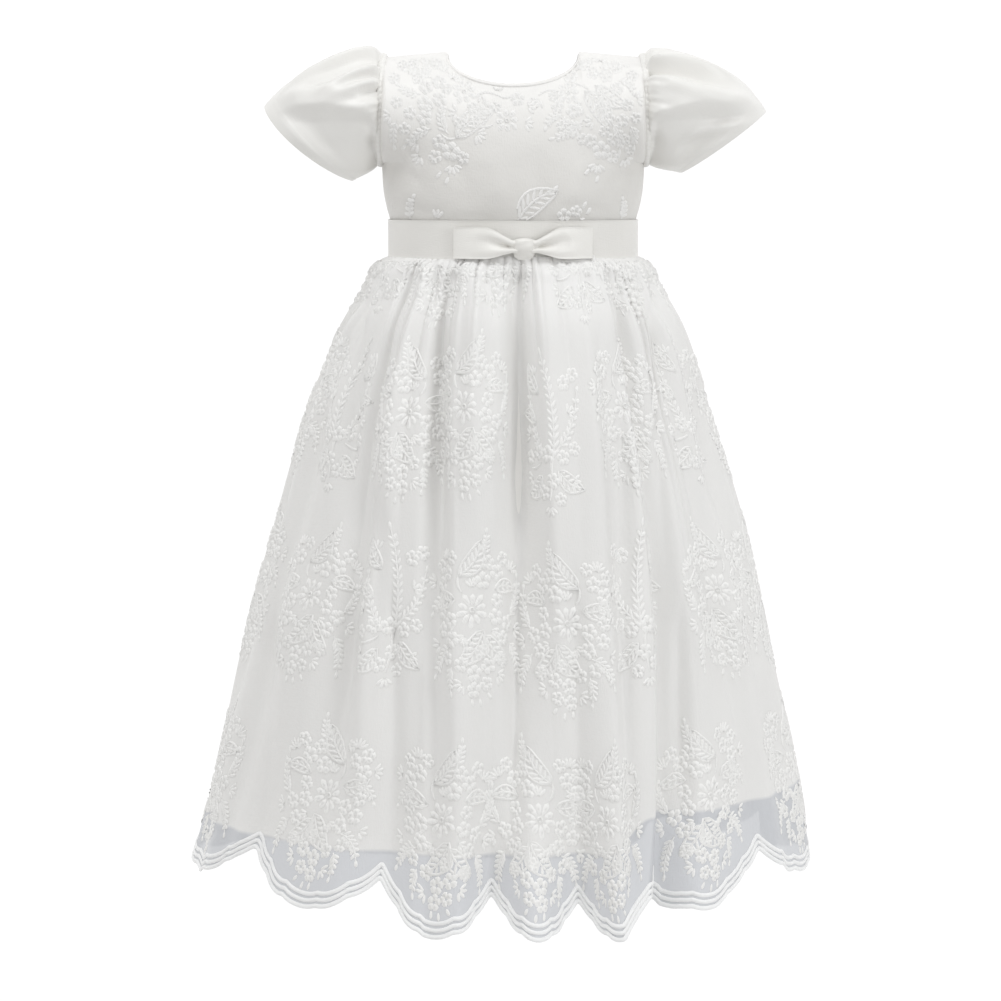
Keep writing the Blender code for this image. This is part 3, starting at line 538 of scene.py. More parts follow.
def fold_at(line, z):
    whole = np.floor(line).astype(int)
    part = line - whole
    here, there = FOLD_ROWS[whole % FOLD_COUNT], FOLD_ROWS[(whole + 1) % FOLD_COUNT]
    turns = np.floor_divide(whole, FOLD_COUNT), np.floor_divide(whole + 1, FOLD_COUNT)
    angle_a = along_skirt(np.moveaxis(here[..., 0:3], -1, 0), z) + 360.0 * turns[0]
    angle_b = along_skirt(np.moveaxis(there[..., 0:3], -1, 0), z) + 360.0 * turns[1]
    reach_a = along_skirt(np.moveaxis(here[..., 3:6], -1, 0), z)
    reach_b = along_skirt(np.moveaxis(there[..., 3:6], -1, 0), z)
    ease = (1 - np.cos(np.pi * part)) / 2
    return angle_a + (angle_b - angle_a) * part, (reach_a + (reach_b - reach_a) * ease) / 1000


def folded(line, z, inset=0.0, share=1.0, extra=0.0):
    angle, reach = fold_at(line, z)
    near_waist = np.clip((SKIRT[0][0] - z) / 0.012, 0.0, 1.0)
    x, y, nx, ny = base_ring(angle, z, inset)
    reach = reach * share * near_waist + extra
    return np.stack([x + nx * reach, y + ny * reach, z + 0.0 * x], axis=-1)


HEM_LINES = np.linspace(0.0, FOLD_COUNT, FOLD_COUNT * 24 + 1)
HEM_LOOP = folded(HEM_LINES, np.full_like(HEM_LINES, LACE_HEM_Z))
HEM_RUN = np.concatenate([[0.0], np.cumsum(np.linalg.norm(np.diff(HEM_LOOP, axis=0), axis=1))])
HEM_LENGTH = HEM_RUN[-1]
HEM_ANGLES = fold_at(HEM_LINES, np.full_like(HEM_LINES, LACE_HEM_Z))[0]
CUSP_RUN = np.interp(CUSPS, HEM_ANGLES, HEM_RUN)
CUSP_EDGES = np.concatenate([[CUSP_RUN[-1] - HEM_LENGTH], CUSP_RUN, [CUSP_RUN[0] + HEM_LENGTH]])

# how far down the cloth a height is, on an average line of the skirt
Z_STEPS = np.linspace(SKIRT[0][0], LACE_HEM_Z, 400)
R_STEPS = (column(SKIRT, Z_STEPS, 1) + column(SKIRT, Z_STEPS, 2)) / 2
SLANT = np.concatenate([[0], np.cumsum(np.hypot(np.diff(Z_STEPS), np.diff(R_STEPS) * 0.95))])
LONG = SLANT[-1]               # the skirt's length along the cloth


def run_of(line):
    """Distance along the uncut hem, in metres from the left side seam by way of the front."""
    turns = np.floor_divide(line, FOLD_COUNT)
    return np.interp(line - turns * FOLD_COUNT, HEM_LINES, HEM_RUN) + turns * HEM_LENGTH


def line_of(run):
    turns = np.floor_divide(run, HEM_LENGTH)
    return np.interp(run - turns * HEM_LENGTH, HEM_RUN, HEM_LINES) + turns * FOLD_COUNT


def hem_height(line):
    angle = np.interp(np.mod(line, FOLD_COUNT), HEM_LINES, HEM_ANGLES)
    rise = np.interp(angle, [row[0] for row in HEM_RISE], [row[1] for row in HEM_RISE])
    return LACE_HEM_Z + rise / 1000


GATHERS = 78                   # fine gathers round the waist
gather_rise = random.uniform(0.55, 1.25, GATHERS)
gather_long = random.uniform(0.6, 1.6, GATHERS)
gather_slip = random.uniform(-0.22, 0.22, GATHERS)
DRAPES = 41                    # longer folds that the gathers run out into
drape_rise = random.uniform(0.3, 1.3, DRAPES)
drape_long = random.uniform(0.55, 1.7, DRAPES)
drape_slip = random.uniform(-0.25, 0.25, DRAPES)


def pleats(run, down, count, rise, length, slip, sharp):
    """Rounded ridges with pinched valleys, each with its own height and length."""
    at = run / HEM_LENGTH * count
    slips = np.interp(np.mod(at, count), np.arange(count + 1), np.append(slip, slip[0]))
    at = at + slips
    whole = np.floor(at).astype(int)
    part = at - whole - 0.5

    def height(number):
        number = np.mod(number, count)
        return rise[number] * np.exp(-((np.maximum(down, 0.0) / length[number]) ** 1.4))

    # the floor between two pleats lies half way between theirs, so no step is left there
    here, beside = height(whole), height(whole + np.where(part < 0, -1, 1))
    level = here + (beside - here) * np.abs(part)
    soft = 0.14
    bump = (np.sqrt(np.sin(np.pi * at) ** 2 + soft**2) - soft) / (math.sqrt(1 + soft**2) - soft)
    return bump**sharp * here - 0.55 * level


# soft troughs (below 0) and ridges of the lace, seen from in front: start x, z, end x, z,
# half width, rise and sideways bow
SKIRT_CREASES = (
    (0.0041, -0.1700, 0.0039, -0.3991, 0.0080, -0.0095, 0.0000),
    (0.0572, -0.1660, 0.0616, -0.3652, 0.0120, 0.0065, 0.0000),
    (0.0796, -0.1741, 0.0844, -0.3747, 0.0065, -0.0060, 0.0010),
    (0.1064, -0.1795, 0.1138, -0.3791, 0.0070, -0.0055, 0.0000),
    (-0.0572, -0.1741, -0.0543, -0.3891, 0.0070, -0.0070, 0.0000),
    (-0.1146, -0.1795, -0.1245, -0.3647, 0.0070, -0.0055, -0.0010),
    (-0.0265, -0.1741, -0.0248, -0.3647, 0.0130, 0.0055, 0.0000),
    (-0.0848, -0.1741, -0.0899, -0.3502, 0.0120, 0.0045, 0.0000),
    (0.0010, -0.4007, -0.0013, -0.5847, 0.0090, -0.0095, 0.0010),
    (0.0871, -0.4078, 0.0917, -0.5847, 0.0120, 0.0055, 0.0000),
    (-0.1204, -0.4221, -0.1278, -0.5847, 0.0100, -0.0060, -0.0010),
    (-0.0652, -0.4364, -0.0653, -0.5847, 0.0100, 0.0045, 0.0010),
    (-0.1849, -0.4364, -0.1918, -0.5847, 0.0090, -0.0055, 0.0000),
    (-0.2141, -0.4507, -0.2195, -0.5777, 0.0080, 0.0040, 0.0000),
    (0.1265, -0.4221, 0.1270, -0.5777, 0.0090, -0.0065, 0.0000),
    (0.1629, -0.4078, 0.1682, -0.5707, 0.0110, 0.0045, 0.0000),
    (-0.0925, -0.4078, -0.0886, -0.5777, 0.0080, -0.0050, 0.0010),
    (0.0452, -0.3935, 0.0482, -0.5637, 0.0070, -0.0040, 0.0000),
    (0.1392, -0.2043, 0.1537, -0.3791, 0.0080, -0.0045, 0.0000),
    (-0.1010, -0.3300, -0.1080, -0.5000, 0.0110, -0.0060, 0.0000),
    (-0.0080, -0.3000, -0.0100, -0.4200, 0.0100, -0.0055, 0.0000),
    (-0.1454, -0.2630, -0.1573, -0.4078, 0.0080, -0.0045, 0.0000),
)
SKIRT_CREASES_BACK = (
    (-0.0100, -0.1720, -0.0140, -0.4050, 0.0080, -0.0085, 0.0000),
    (0.0300, -0.1700, 0.0360, -0.3500, 0.0120, 0.0060, 0.0010),
    (0.0620, -0.1780, 0.0680, -0.4100, 0.0070, -0.0065, 0.0000),
    (0.0980, -0.1800, 0.1120, -0.3600, 0.0080, -0.0050, 0.0010),
    (-0.0480, -0.1740, -0.0560, -0.3700, 0.0075, -0.0065, -0.0010),
    (-0.0750, -0.1760, -0.0860, -0.3900, 0.0110, 0.0055, 0.0000),
    (-0.1080, -0.1820, -0.1260, -0.3800, 0.0080, -0.0055, 0.0000),
    (0.0120, -0.3900, 0.0180, -0.5900, 0.0090, -0.0065, 0.0000),
    (0.0850, -0.4100, 0.0930, -0.5850, 0.0110, 0.0050, 0.0000),
    (0.1250, -0.4000, 0.1320, -0.5900, 0.0085, -0.0060, 0.0010),
    (-0.0450, -0.4200, -0.0500, -0.5850, 0.0100, 0.0050, 0.0010),
    (-0.0820, -0.4150, -0.0900, -0.5900, 0.0085, -0.0060, 0.0000),
    (-0.1350, -0.3900, -0.1450, -0.5800, 0.0090, -0.0055, -0.0010),
    (-0.1800, -0.4300, -0.1900, -0.5800, 0.0090, 0.0040, 0.0000),
)


def crease_rise(x, z, table):
    shift = np.zeros(np.broadcast(x, z).shape)
    for x0, z0, x1, z1, width, rise, bow in table:
        length = math.hypot(x1 - x0, z1 - z0)
        dx, dz = (x1 - x0) / length, (z1 - z0) / length
        t = ((x - x0) * dx + (z - z0) * dz) / length
        off = (x - x0) * -dz + (z - z0) * dx - bow * 4 * np.clip(t, 0, 1) * (1 - np.clip(t, 0, 1))
        along = smooth(t, -0.15, 0.2) * (1 - smooth(t, 0.6, 1.25))
        spread = width * (0.75 + 0.4 * np.clip(t, 0, 1))
        shift = shift + rise * np.exp(-np.abs(off / spread) ** 1.7) * along
    return shift


def gathers(line, down):
    """How far the fine gathers stand out, at a distance down the cloth from the waist."""
    run = run_of(line)
    # under the bow it puffs out a little higher than elsewhere
    turns = np.mod(line, FOLD_COUNT)
    bow_share = smooth(turns, 8.4, 9.4) * (1 - smooth(turns, 16.2, 17.2))
    raised = down + 0.0026 * bow_share
    start = smooth(raised, -0.0010, 0.0008)
    fine = 0.0032 * pleats(run, down, GATHERS, gather_rise, 0.045 * gather_long, gather_slip, 0.75)
    broad = 0.0062 * smooth(down, 0.002, 0.05) * pleats(
        run, down, DRAPES, drape_rise, 0.17 * drape_long, drape_slip, 0.9
    )
    ripple = 0.0009 * np.sin(run * 61.0 + 3 * np.sin(down * 9.0)) * smooth(down, 0.08, 0.3)
    # the gathered cloth swells out at once below the ribbon
    swell = 0.0046 * smooth(raised, -0.0013, 0.0004) * np.exp(-((np.maximum(down, 0) / 0.012) ** 1.5))
    return start * (fine + broad) + ripple + swell


def lace_at(line, t, fine=True):
    """A point of the lace skirt: line counts fold lines and t runs down the cloth, 1 at the
    lowest point of a scallop."""
    down = t * LONG
    share = (SKIRT[0][0] - np.interp(down, SLANT, Z_STEPS)) / (SKIRT[0][0] - LACE_HEM_Z)
    share = np.where(down < 0, down / 0.48, share)
    share = np.where(down > LONG, 1 + (down - LONG) / 0.50, share)
    z = SKIRT[0][0] + (hem_height(line) - SKIRT[0][0]) * share
    plain = folded(line, z)
    turns = np.mod(line, FOLD_COUNT)
    front = smooth(turns, 0.0, 1.5) * (1 - smooth(turns, SIDE_RIGHT - 1.5, SIDE_RIGHT))
    back = smooth(turns, SIDE_RIGHT, SIDE_RIGHT + 1.5) * (
        1 - smooth(turns, FOLD_COUNT - 1.5, FOLD_COUNT)
    )
    hand = front * crease_rise(plain[..., 0], z, SKIRT_CREASES) + back * crease_rise(
        plain[..., 0], z, SKIRT_CREASES_BACK
    )
    if fine:
        hand = hand + gathers(line, down)
    return folded(line, z, extra=hand)


def lace_normal(line, t):
    return normals_of(lace_at, line, t, -1.0, 1.2e-2, 2e-3)


def edge_profile(run):
    """How far the scalloped edge is above the lowest point, along the cloth."""
    run = np.mod(run, HEM_LENGTH)
    at = np.clip(np.searchsorted(CUSP_EDGES, run, side="right") - 1, 0, len(CUSP_EDGES) - 2)
    x = (run - CUSP_EDGES[at]) / (CUSP_EDGES[at + 1] - CUSP_EDGES[at])
    off = 2 * x - 1
    warped = 0.5 + 0.5 * np.sign(off) * np.abs(off) ** 1.2
    small = np.abs(np.sin(np.pi * SMALL_LOBES * warped)) ** 0.8
    return SCALLOP_DEPTH * np.abs(off) ** 2.1 + SMALL_LOBE_DEPTH * (1 - small)


EDGE_RUN = np.linspace(0.0, HEM_LENGTH, 6001)
EDGE_SHARP = edge_profile(EDGE_RUN[:-1])


def edge_rise(run, blur):
    """The edge with its points rounded over a distance of blur millimetres."""
    if blur <= 0:
        return edge_profile(run)
    step = HEM_LENGTH / 6000
    reach = int(3 * blur / 1000 / step) + 1
    weights = np.exp(-((np.arange(-reach, reach + 1) * step / (blur / 1000)) ** 2))
    weights /= weights.sum()
    ringed = np.concatenate([EDGE_SHARP[-reach:], EDGE_SHARP, EDGE_SHARP[:reach]])
    soft = np.convolve(ringed, weights, "valid")
    return np.interp(np.mod(run, HEM_LENGTH), EDGE_RUN, np.append(soft, soft[0]))


def skirt_grid(start, end, columns, rows):
    runs = np.linspace(run_of(np.array(float(start))), run_of(np.array(float(end))), columns)
    lines = line_of(runs)
    lines[0], lines[-1] = start, end
    edge = 1.0 - edge_rise(runs, CORDS[0][3]) / LONG
    # rows are packed near the waist and follow the scallops near the hem
    v = np.linspace(0.0, 1.0, rows)
    v = 0.6 * v + 0.4 * v**1.5
    t = -0.0085 + (0.90 + 0.0085) * v[:, None] / 0.90 + 0.0 * lines[None, :]
    last = t > 0.90
    t = np.where(last, 0.90 + (t - 0.90) / (t.max() - 0.90) * (edge[None, :] - 0.90), t)
    line = np.broadcast_to(lines[None, :], t.shape)
    uvs = np.stack([np.broadcast_to(runs[None, :], t.shape), -t * LONG], -1)
    return line, t, uvs


for name, start, end in (
    ("lace_front", SIDE_LEFT, SIDE_RIGHT),
    ("lace_back", SIDE_RIGHT, FOLD_COUNT),
):
    line, t, uvs = skirt_grid(start, end, 400, 140)
    made = piece_of(
        name, lace_at(line, t), grid_faces(*t.shape)[:, ::-1], NET, uvs
    )
    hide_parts("skirt_" + name)


# ---------------------------------------------------------------- lining
def lining_at(line, v):
    angle, _ = fold_at(line, np.full_like(line, LINING_HEM_Z))
    hem = LINING_HEM_Z + LINING_LIFT * smooth(np.sin(np.radians(angle)), 0.31, 0.54)
    z = SKIRT[0][0] + (hem - SKIRT[0][0]) * v
    # the turned-up hem draws in a little along its stitches
    stitched = -0.0005 * np.exp(-(((1 - v) * 0.44 - 0.016) / 0.0012) ** 2)
    return folded(line, z, column(SKIRT, z, 3) + 0.0006, LINING_FOLD, extra=stitched)


for name, start, end in (
    ("lining_front", SIDE_LEFT, SIDE_RIGHT),
    ("lining_back", SIDE_RIGHT, FOLD_COUNT),
):
    lines = np.linspace(start, end, 190)
    rows = np.concatenate([np.linspace(0, 0.93, 40), np.linspace(0.935, 1.0, 20)])
    line, v = np.meshgrid(lines, rows)
    outer = lining_at(line, v)
    inner = outer - 0.0007 * normals_of(lining_at, line, np.clip(v, 0.002, 0.998), -1.0, 1e-3, 1e-3)
    uvs = np.stack([run_of(line), -v * 0.46], -1)
    made = wall_piece(name, outer, inner, LINING, uvs, flip=True)
    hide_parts("skirt_" + name)

# ---------------------------------------------------------------- cords along the scallops
cord_parts = []
for inward, width, height, blur in CORDS:
    runs = np.linspace(0.0, HEM_LENGTH, 2200, endpoint=False)
    t = 1.0 - (edge_rise(runs, blur) + inward / 1000) / LONG
    lines = line_of(runs)
    path = lace_at(lines, t)
    normal = lace_normal(lines, t)
    forward = np.roll(path, -1, 0) - np.roll(path, 1, 0)
    forward /= np.linalg.norm(forward, axis=1, keepdims=True)
    side = np.cross(forward, normal)
    side /= np.linalg.norm(side, axis=1, keepdims=True)
    cord_parts.append(
        ribs_along(path + normal * 0.0001, normal, side, width / 1000, height / 1000, closed=True)
    )
cords = joined("lace_border_cords", cord_parts, CORD_THREAD)


# ================================================================ embroidery
class Motif:
    """Raised satin-stitch strokes and petals on a flat pattern, in millimetres: x across the
    cloth and y up it."""

    def __init__(self):
        self.strokes = []      # (points, widths, heights, closed)
        self.pads = []         # (centre, rings of points, their heights)

    def stroke(self, points, width=2.0, closed=False, ends=(0.6, 0.45)):
        points = np.asarray(points, float)
        share = np.ones(len(points))
        if not closed:
            share[0], share[-1] = ends
        self.strokes.append((points, width * share, share, closed))

    def curve(self, start, bend, end, width=2.0, steps=6):
        t = np.linspace(0, 1, steps)[:, None]
        start, bend, end = (np.array(p, float) for p in (start, bend, end))
        points = start * (1 - t) ** 2 + bend * 2 * t * (1 - t) + end * t * t
        self.stroke(points, width)
        return points

    def leaflet(self, x, y, angle, length, width=2.7):
        """One plump finger of stitches, broadest past its middle."""
        turn = math.radians(angle)
        d = np.array([math.cos(turn), math.sin(turn)]) * length
        t = np.array([0.0, 0.3, 0.72, 1.0])
        share = np.array([0.45, 0.9, 1.0, 0.4])
        self.strokes.append((np.array([x, y]) + d * t[:, None], width * share, share, False))

    def petal(self, x, y, angle, start, end, width, hollow=0.12):
        """A padded petal with a raised rim, from one distance to another out from x, y."""
        turn = math.radians(angle)
        d = np.array([math.cos(turn), math.sin(turn)])
        n = np.array([-d[1], d[0]])
        around = np.radians([0, 58, 118, 180, 242, 302])
        middle = np.array([x, y]) + d * (start + end) / 2
        reach = (end - start) / 2
        # broader towards its tip
        broad = width / 2 * (1 + 0.22 * np.cos(around))
        ring = lambda k: middle + d * (np.cos(around) * reach * k)[:, None] + n * (
            np.sin(around) * broad * k
        )[:, None]
        inner = max(1 - 1.25 / min(reach, width / 2), 0.42)
        self.pads.append((middle, ring(1.0), ring(inner), hollow))

    def flower(self, x, y, radius, petals=5, turn=0.0, hollow=0.12):
        """A small flower of padded petals round an eye."""
        wide = 2 * math.pi * radius * 0.62 / petals * 1.12
        for k in range(petals):
            self.petal(x, y, math.degrees(turn) + 360 * k / petals, radius * 0.12, radius, wide, hollow)

    def daisy(self, x, y, radius, petals=10, turn=0.0):
        """A large open flower: long looped petals round a ring of small stitches."""
        for k in range(petals):
            a = math.degrees(turn) + 360 * k / petals
            reach = radius * (1.0 if k % 2 else 0.86)
            wide = 2 * math.pi * radius * 0.62 / petals * 0.86
            self.petal(x, y, a, radius * 0.24, reach, wide, 0.08)
        eye = np.linspace(0, 2 * np.pi, 7, endpoint=False)
        self.stroke(
            np.stack([x + radius * 0.13 * np.cos(eye), y + radius * 0.13 * np.sin(eye)], -1),
            1.5,
            closed=True,
        )

    def leaf(self, x, y, angle, length, width, ribs=5, line=2.0, rib=2.5, bend=0.12):
        """An outlined leaf, bent to one side, filled with plump slanting stitches."""
        turn = math.radians(angle)
        d = np.array([math.cos(turn), math.sin(turn)])
        n = np.array([-d[1], d[0]])
        start = np.array([x, y])
        t = np.linspace(0, 1, 8)
        spine = lambda s: start + d * (s * length)[:, None] + n * (bend * length * np.sin(np.pi * s))[:, None]
        half = width / 2 * np.sin(np.pi * t**0.85) ** 0.8
        middle = spine(t)
        up, down = middle + n * half[:, None], middle - n * half[:, None]
        self.stroke(np.concatenate([up, down[-2:0:-1]]), line, closed=True)
        self.stroke(spine(np.linspace(0.02, 0.90, 5)), line)
        for k in range(ribs):
            s = 0.04 + 0.70 * k / max(ribs - 1, 1)
            h = width / 2 * math.sin(math.pi * min(s + 0.16, 0.98) ** 0.85) ** 0.8 - line * 0.5
            root = spine(np.array([s]))[0]
            for sign in (-1, 1):
                tip = spine(np.array([s + 0.17]))[0] + n * sign * h
                base = root + (tip - root) * 0.16
                share = np.array([0.6, 1.0, 0.75])
                points = np.stack([base, (base + tip) / 2 + d * 0.3, tip])
                self.strokes.append((points, rib * share, share, False))

    def fern(self, start, bend, end, pairs=6, size=7.0, lean=40.0, width=2.7, bare=0.12):
        """A stem with pairs of plump leaflets, smaller to the tip, and one at its end."""
        points = self.curve(start, bend, end, 1.8, 6)
        run = np.linspace(0, 1, len(points))
        for k in range(pairs):
            s = bare + (0.98 - bare) * k / pairs
            at = np.array([np.interp(s, run, points[:, 0]), np.interp(s, run, points[:, 1])])
            ahead = np.array(
                [np.interp(s + 0.04, run, points[:, 0]), np.interp(s + 0.04, run, points[:, 1])]
            )
            way = math.degrees(math.atan2(*(ahead - at)[::-1]))
            length = size * (1 - 0.4 * s)
            for sign in (-1, 1):
                self.leaflet(at[0], at[1], way + sign * lean, length, width)
        way = math.degrees(math.atan2(*(points[-1] - points[-2])[::-1]))
        self.leaflet(points[-1][0], points[-1][1], way, size * 0.75, width)

    def spray(self, x, y, angle, count=5, spread=110.0, length=7.0, width=2.6):
        for k in range(count):
            a = angle + spread * (k / (count - 1) - 0.5)
            turn = math.radians(a)
            x0, y0 = x + 1.6 * math.cos(turn), y + 1.6 * math.sin(turn)
            self.leaflet(x0, y0, a, length, width)

    def arrays(self, across=3):
        """Flat points with a share of the height, faces and UVs, for the whole pattern."""
        offsets = np.array([-0.5, 0.0, 0.5]) if across == 3 else np.array([-0.5, -0.27, 0.27, 0.5])
        lifts = np.array([0.0, 1.0, 0.0]) if across == 3 else np.array([0.0, 0.95, 0.95, 0.0])
        flat, faces, uvs, base = [], [], [], 0
        for points, widths, heights, closed in self.strokes:
            count = len(points)
            if closed:
                way = np.roll(points, -1, 0) - np.roll(points, 1, 0)
            else:
                way = np.gradient(points, axis=0)
            way /= np.maximum(np.linalg.norm(way, axis=1, keepdims=True), 1e-9)
            side = np.stack([-way[:, 1], way[:, 0]], -1)
            p = points[:, None, :] + side[:, None, :] * (offsets[None, :] * widths[:, None])[..., None]
            h = lifts[None, :] * heights[:, None]
            flat.append(np.concatenate([p, h[..., None]], -1).reshape(-1, 3))
            run = np.concatenate(
                [[0], np.cumsum(np.linalg.norm(np.diff(points, axis=0), axis=1))]
            )
            uvs.append(
                np.stack(
                    np.broadcast_arrays(offsets[None, :] * 0.0017, run[:, None] / 1000), -1
                ).reshape(-1, 2)
            )
            n = len(offsets)
            f = grid_faces(count, n)
            if closed:
                last = (count - 1) * n
                i = np.arange(n - 1)
                f = np.concatenate([f, np.stack([last + i, last + i + 1, i + 1, i], -1)])
            faces.append(f + base)
            base += count * n
        i = np.arange(6)
        k = (i + 1) % 6
        pad_faces = np.concatenate(
            [
                np.stack([i, k, k + 6, i + 6], -1),
                [[6, 7, 8, 12], [8, 9, 10, 12], [10, 11, 6, 12]],
            ]
        )
        for middle, outer, rim, hollow in self.pads:
            p = np.concatenate([outer, rim, middle[None]])
            h = np.concatenate([np.zeros(6), np.full(6, 0.95), [hollow]])
            flat.append(np.concatenate([p, h[:, None]], -1))
            uvs.append((p - middle) / 1000)
            faces.append(pad_faces[:, ::-1] + base)
            base += 13
        return np.concatenate(flat), np.concatenate(faces), np.concatenate(uvs)


def skirt_motif():
    """A hanging bouquet about 92 mm wide and 130 mm tall: its lowest dash is at the origin."""
    m = Motif()
    # middle: a large open flower with a ribbed leaf above it and two below
    m.daisy(-3, 70, 14.5, 10, 0.2)
    m.leaf(-13, 96, 52, 33, 15, 6, bend=-0.14)
    m.leaf(6, 54, -132, 31, 17, 6, bend=0.12)
    m.leaf(7, 50, -44, 28, 13, 5, bend=-0.12)
    m.leaf(-17, 79, 164, 23, 12, 4, bend=0.14)
    m.leaf(17, 84, -4, 22, 10, 4, bend=0.12)
    # clusters of small flowers
    for x, y, r, turn in (
        (7, 91, 7.2, 0.3), (20, 96, 7.0, 0.9), (12, 104, 6.4, 0.1), (27, 106, 6.2, 0.5),
        (17, 63, 6.8, 0.5), (29, 58, 6.8, 1.1), (23, 47, 6.4, 0.2), (19, 75, 6.2, 0.8),
        (-22, 64, 6.8, 0.7), (-33, 57, 6.6, 0.4), (-21, 50, 6.8, 0.9), (-34, 70, 6.2, 0.1),
        (-34, 90, 7.0, 0.8), (-25, 99, 6.6, 0.3), (-36, 103, 6.2, 0.6), (-19, 110, 5.8, 0.0),
        (-3, 23, 7.0, 0.2), (9, 27, 6.6, 0.7), (-14, 31, 6.2, 0.1), (3, 38, 5.8, 0.4),
        (-27, 36, 6.2, 0.5), (22, 31, 6.2, 0.9), (-7, 44, 5.4, 0.2),
    ):
        m.flower(x, y, r, 5, turn)
    # fern sprigs that reach outwards
    m.fern((32, 62), (42, 68), (41, 90), 6, 7.2)
    m.fern((-26, 84), (-40, 82), (-45, 68), 5, 6.6)
    m.fern((-24, 44), (-36, 42), (-42, 24), 6, 7.2)
    m.fern((30, 44), (39, 36), (40, 18), 6, 7.0)
    m.fern((8, 110), (12, 116), (12, 126), 4, 6.4)
    m.fern((-22, 30), (-26, 24), (-24, 12), 4, 6.2)
    # stems and finger leaves
    m.curve((-13, 97), (-16, 90), (-11, 84), 2.0, 5)
    m.curve((-16, 62), (-22, 58), (-28, 46), 2.0, 5)
    m.spray(33, 96, 56, 5, 120, 7.4)
    m.spray(-27, 108, 100, 5, 110, 7.4)
    m.spray(-42, 90, 176, 4, 100, 6.4)
    m.spray(37, 52, -10, 4, 100, 6.8)
    m.spray(17, 37, -66, 4, 90, 7.2)
    m.spray(-38, 46, 200, 3, 80, 6.4)
    m.spray(-9, 52, 222, 4, 80, 6.6)
    m.spray(-2, 86, 92, 4, 80, 7.0)
    m.spray(12, 53, -20, 3, 60, 6.0)
    # the hanging tip
    m.flower(-4, 11, 6.6, 5, 0.2)
    m.flower(7, 14, 5.8, 5, 0.7)
    m.spray(16, 20, -24, 4, 110, 6.6)
    m.spray(-13, 17, 210, 4, 110, 6.6)
    m.leaflet(-6, 5, -84, 5.6)
    m.leaflet(1, 4, -80, 5.8)
    m.leaflet(8, 7, -56, 5.4)
    return m


def skirt_sprig():
    """The narrower pattern between the bouquets: tall ferns and leaves over a few flowers."""
    m = Motif()
    m.fern((-2, 36), (-12, 76), (2, 122), 12, 8.6)
    m.fern((4, 40), (20, 56), (24, 96), 9, 7.8)
    m.fern((-8, 50), (-26, 62), (-30, 92), 7, 7.2)
    m.leaf(9, 92, 62, 26, 12, 5, bend=-0.14)
    m.leaf(-8, 34, 214, 27, 13, 5, bend=0.12)
    m.leaf(10, 30, -36, 26, 13, 5, bend=-0.14)
    m.leaf(15, 70, 20, 20, 10, 4, bend=0.14)
    for x, y, r, turn in (
        (-18, 100, 6.6, 0.3), (-27, 106, 6.0, 0.9), (1, 47, 7.4, 0.4), (14, 48, 6.6, 0.9),
        (-13, 44, 6.4, 0.2), (27, 44, 6.2, 0.5), (-2, 27, 6.6, 0.7), (8, 18, 6.4, 0.1),
        (-24, 50, 6.0, 0.6), (-8, 13, 5.8, 0.3),
    ):
        m.flower(x, y, r, 5, turn)
    m.spray(24, 60, 20, 4, 100, 7.2)
    m.spray(-20, 76, 150, 4, 110, 7.0)
    m.spray(-20, 26, 205, 4, 110, 6.8)
    m.spray(24, 28, -20, 4, 110, 6.8)
    m.spray(14, 106, 70, 4, 110, 7.0)
    m.spray(2, 8, -88, 4, 100, 6.6)
    m.curve((0, 44), (-4, 34), (2, 12), 2.0, 6)
    m.curve((10, 40), (20, 34), (26, 36), 2.0, 5)
    return m


# the lines that the bouquets hang on, in front and then behind; one near the left side seam is
# there once from either side
ROW_2 = (
    0.58, 4.60, 7.56, 10.62, 13.00, 15.74, 19.38,
    22.40, 25.20, 28.00, 30.80, 33.70, 36.60, 39.50, 42.50, 45.58,
)
ROW_1 = (
    0.98, 4.28, 7.50, 10.40, 12.88, 16.28, 20.04,
    23.40, 26.70, 30.00, 33.30, 36.60, 39.90, 43.00, 45.98, -2.00,
)
ROW_0 = (
    0.70, 4.18, 7.98, 11.18, 14.30, 18.30,
    22.00, 25.40, 28.80, 32.20, 35.60, 39.00, 42.40, 45.70,
)


def stitched_on(motif_data, place, mirror=1.0, lift=0.9, turn=0.0, scale=1.0):
    """Flat stroke points turned, mirrored and handed to place(x, y), which gives points and
    normals; strokes that place() can't hold are left out."""
    flat, faces, uvs = motif_data
    c, s = math.cos(turn) * scale, math.sin(turn) * scale
    x = mirror * (c * flat[:, 0] - s * flat[:, 1])
    y = s * flat[:, 0] + c * flat[:, 1]
    points, normals, good = place(x, y)
    points = points + normals * ((flat[:, 2] * lift + 0.06) / 1000)[:, None]
    keep = good[faces].all(1)
    faces = faces[keep]
    used = np.zeros(len(points), bool)
    used[faces.ravel()] = True
    number = np.cumsum(used) - 1
    faces = number[faces]
    return points[used], faces if mirror > 0 else faces[:, ::-1], uvs[used]


MOTIF = skirt_motif().arrays(3)
SPRIG = skirt_sprig().arrays(3)
MIDDLES = [float(line_of(np.array(x))) for x in (CUSP_EDGES[:-1] + CUSP_EDGES[1:]) / 2]
# rows of bouquets: how far their lowest point is down the cloth, how wide they are drawn, the
# fold lines that they hang on, and which of them are the narrower sprigs
MOTIF_ROWS = (
    (LONG - 0.0150, 0.97, MIDDLES, ()),
    (LONG - 0.1660, 0.90, ROW_2, (2, 5, 8, 10, 12, 14)),
    (LONG - 0.3150, 0.80, ROW_1, (1, 4, 6, 8, 10, 12, 14)),
    (LONG - 0.4570, 0.66, ROW_0, (1, 4, 7, 9, 11)),
)


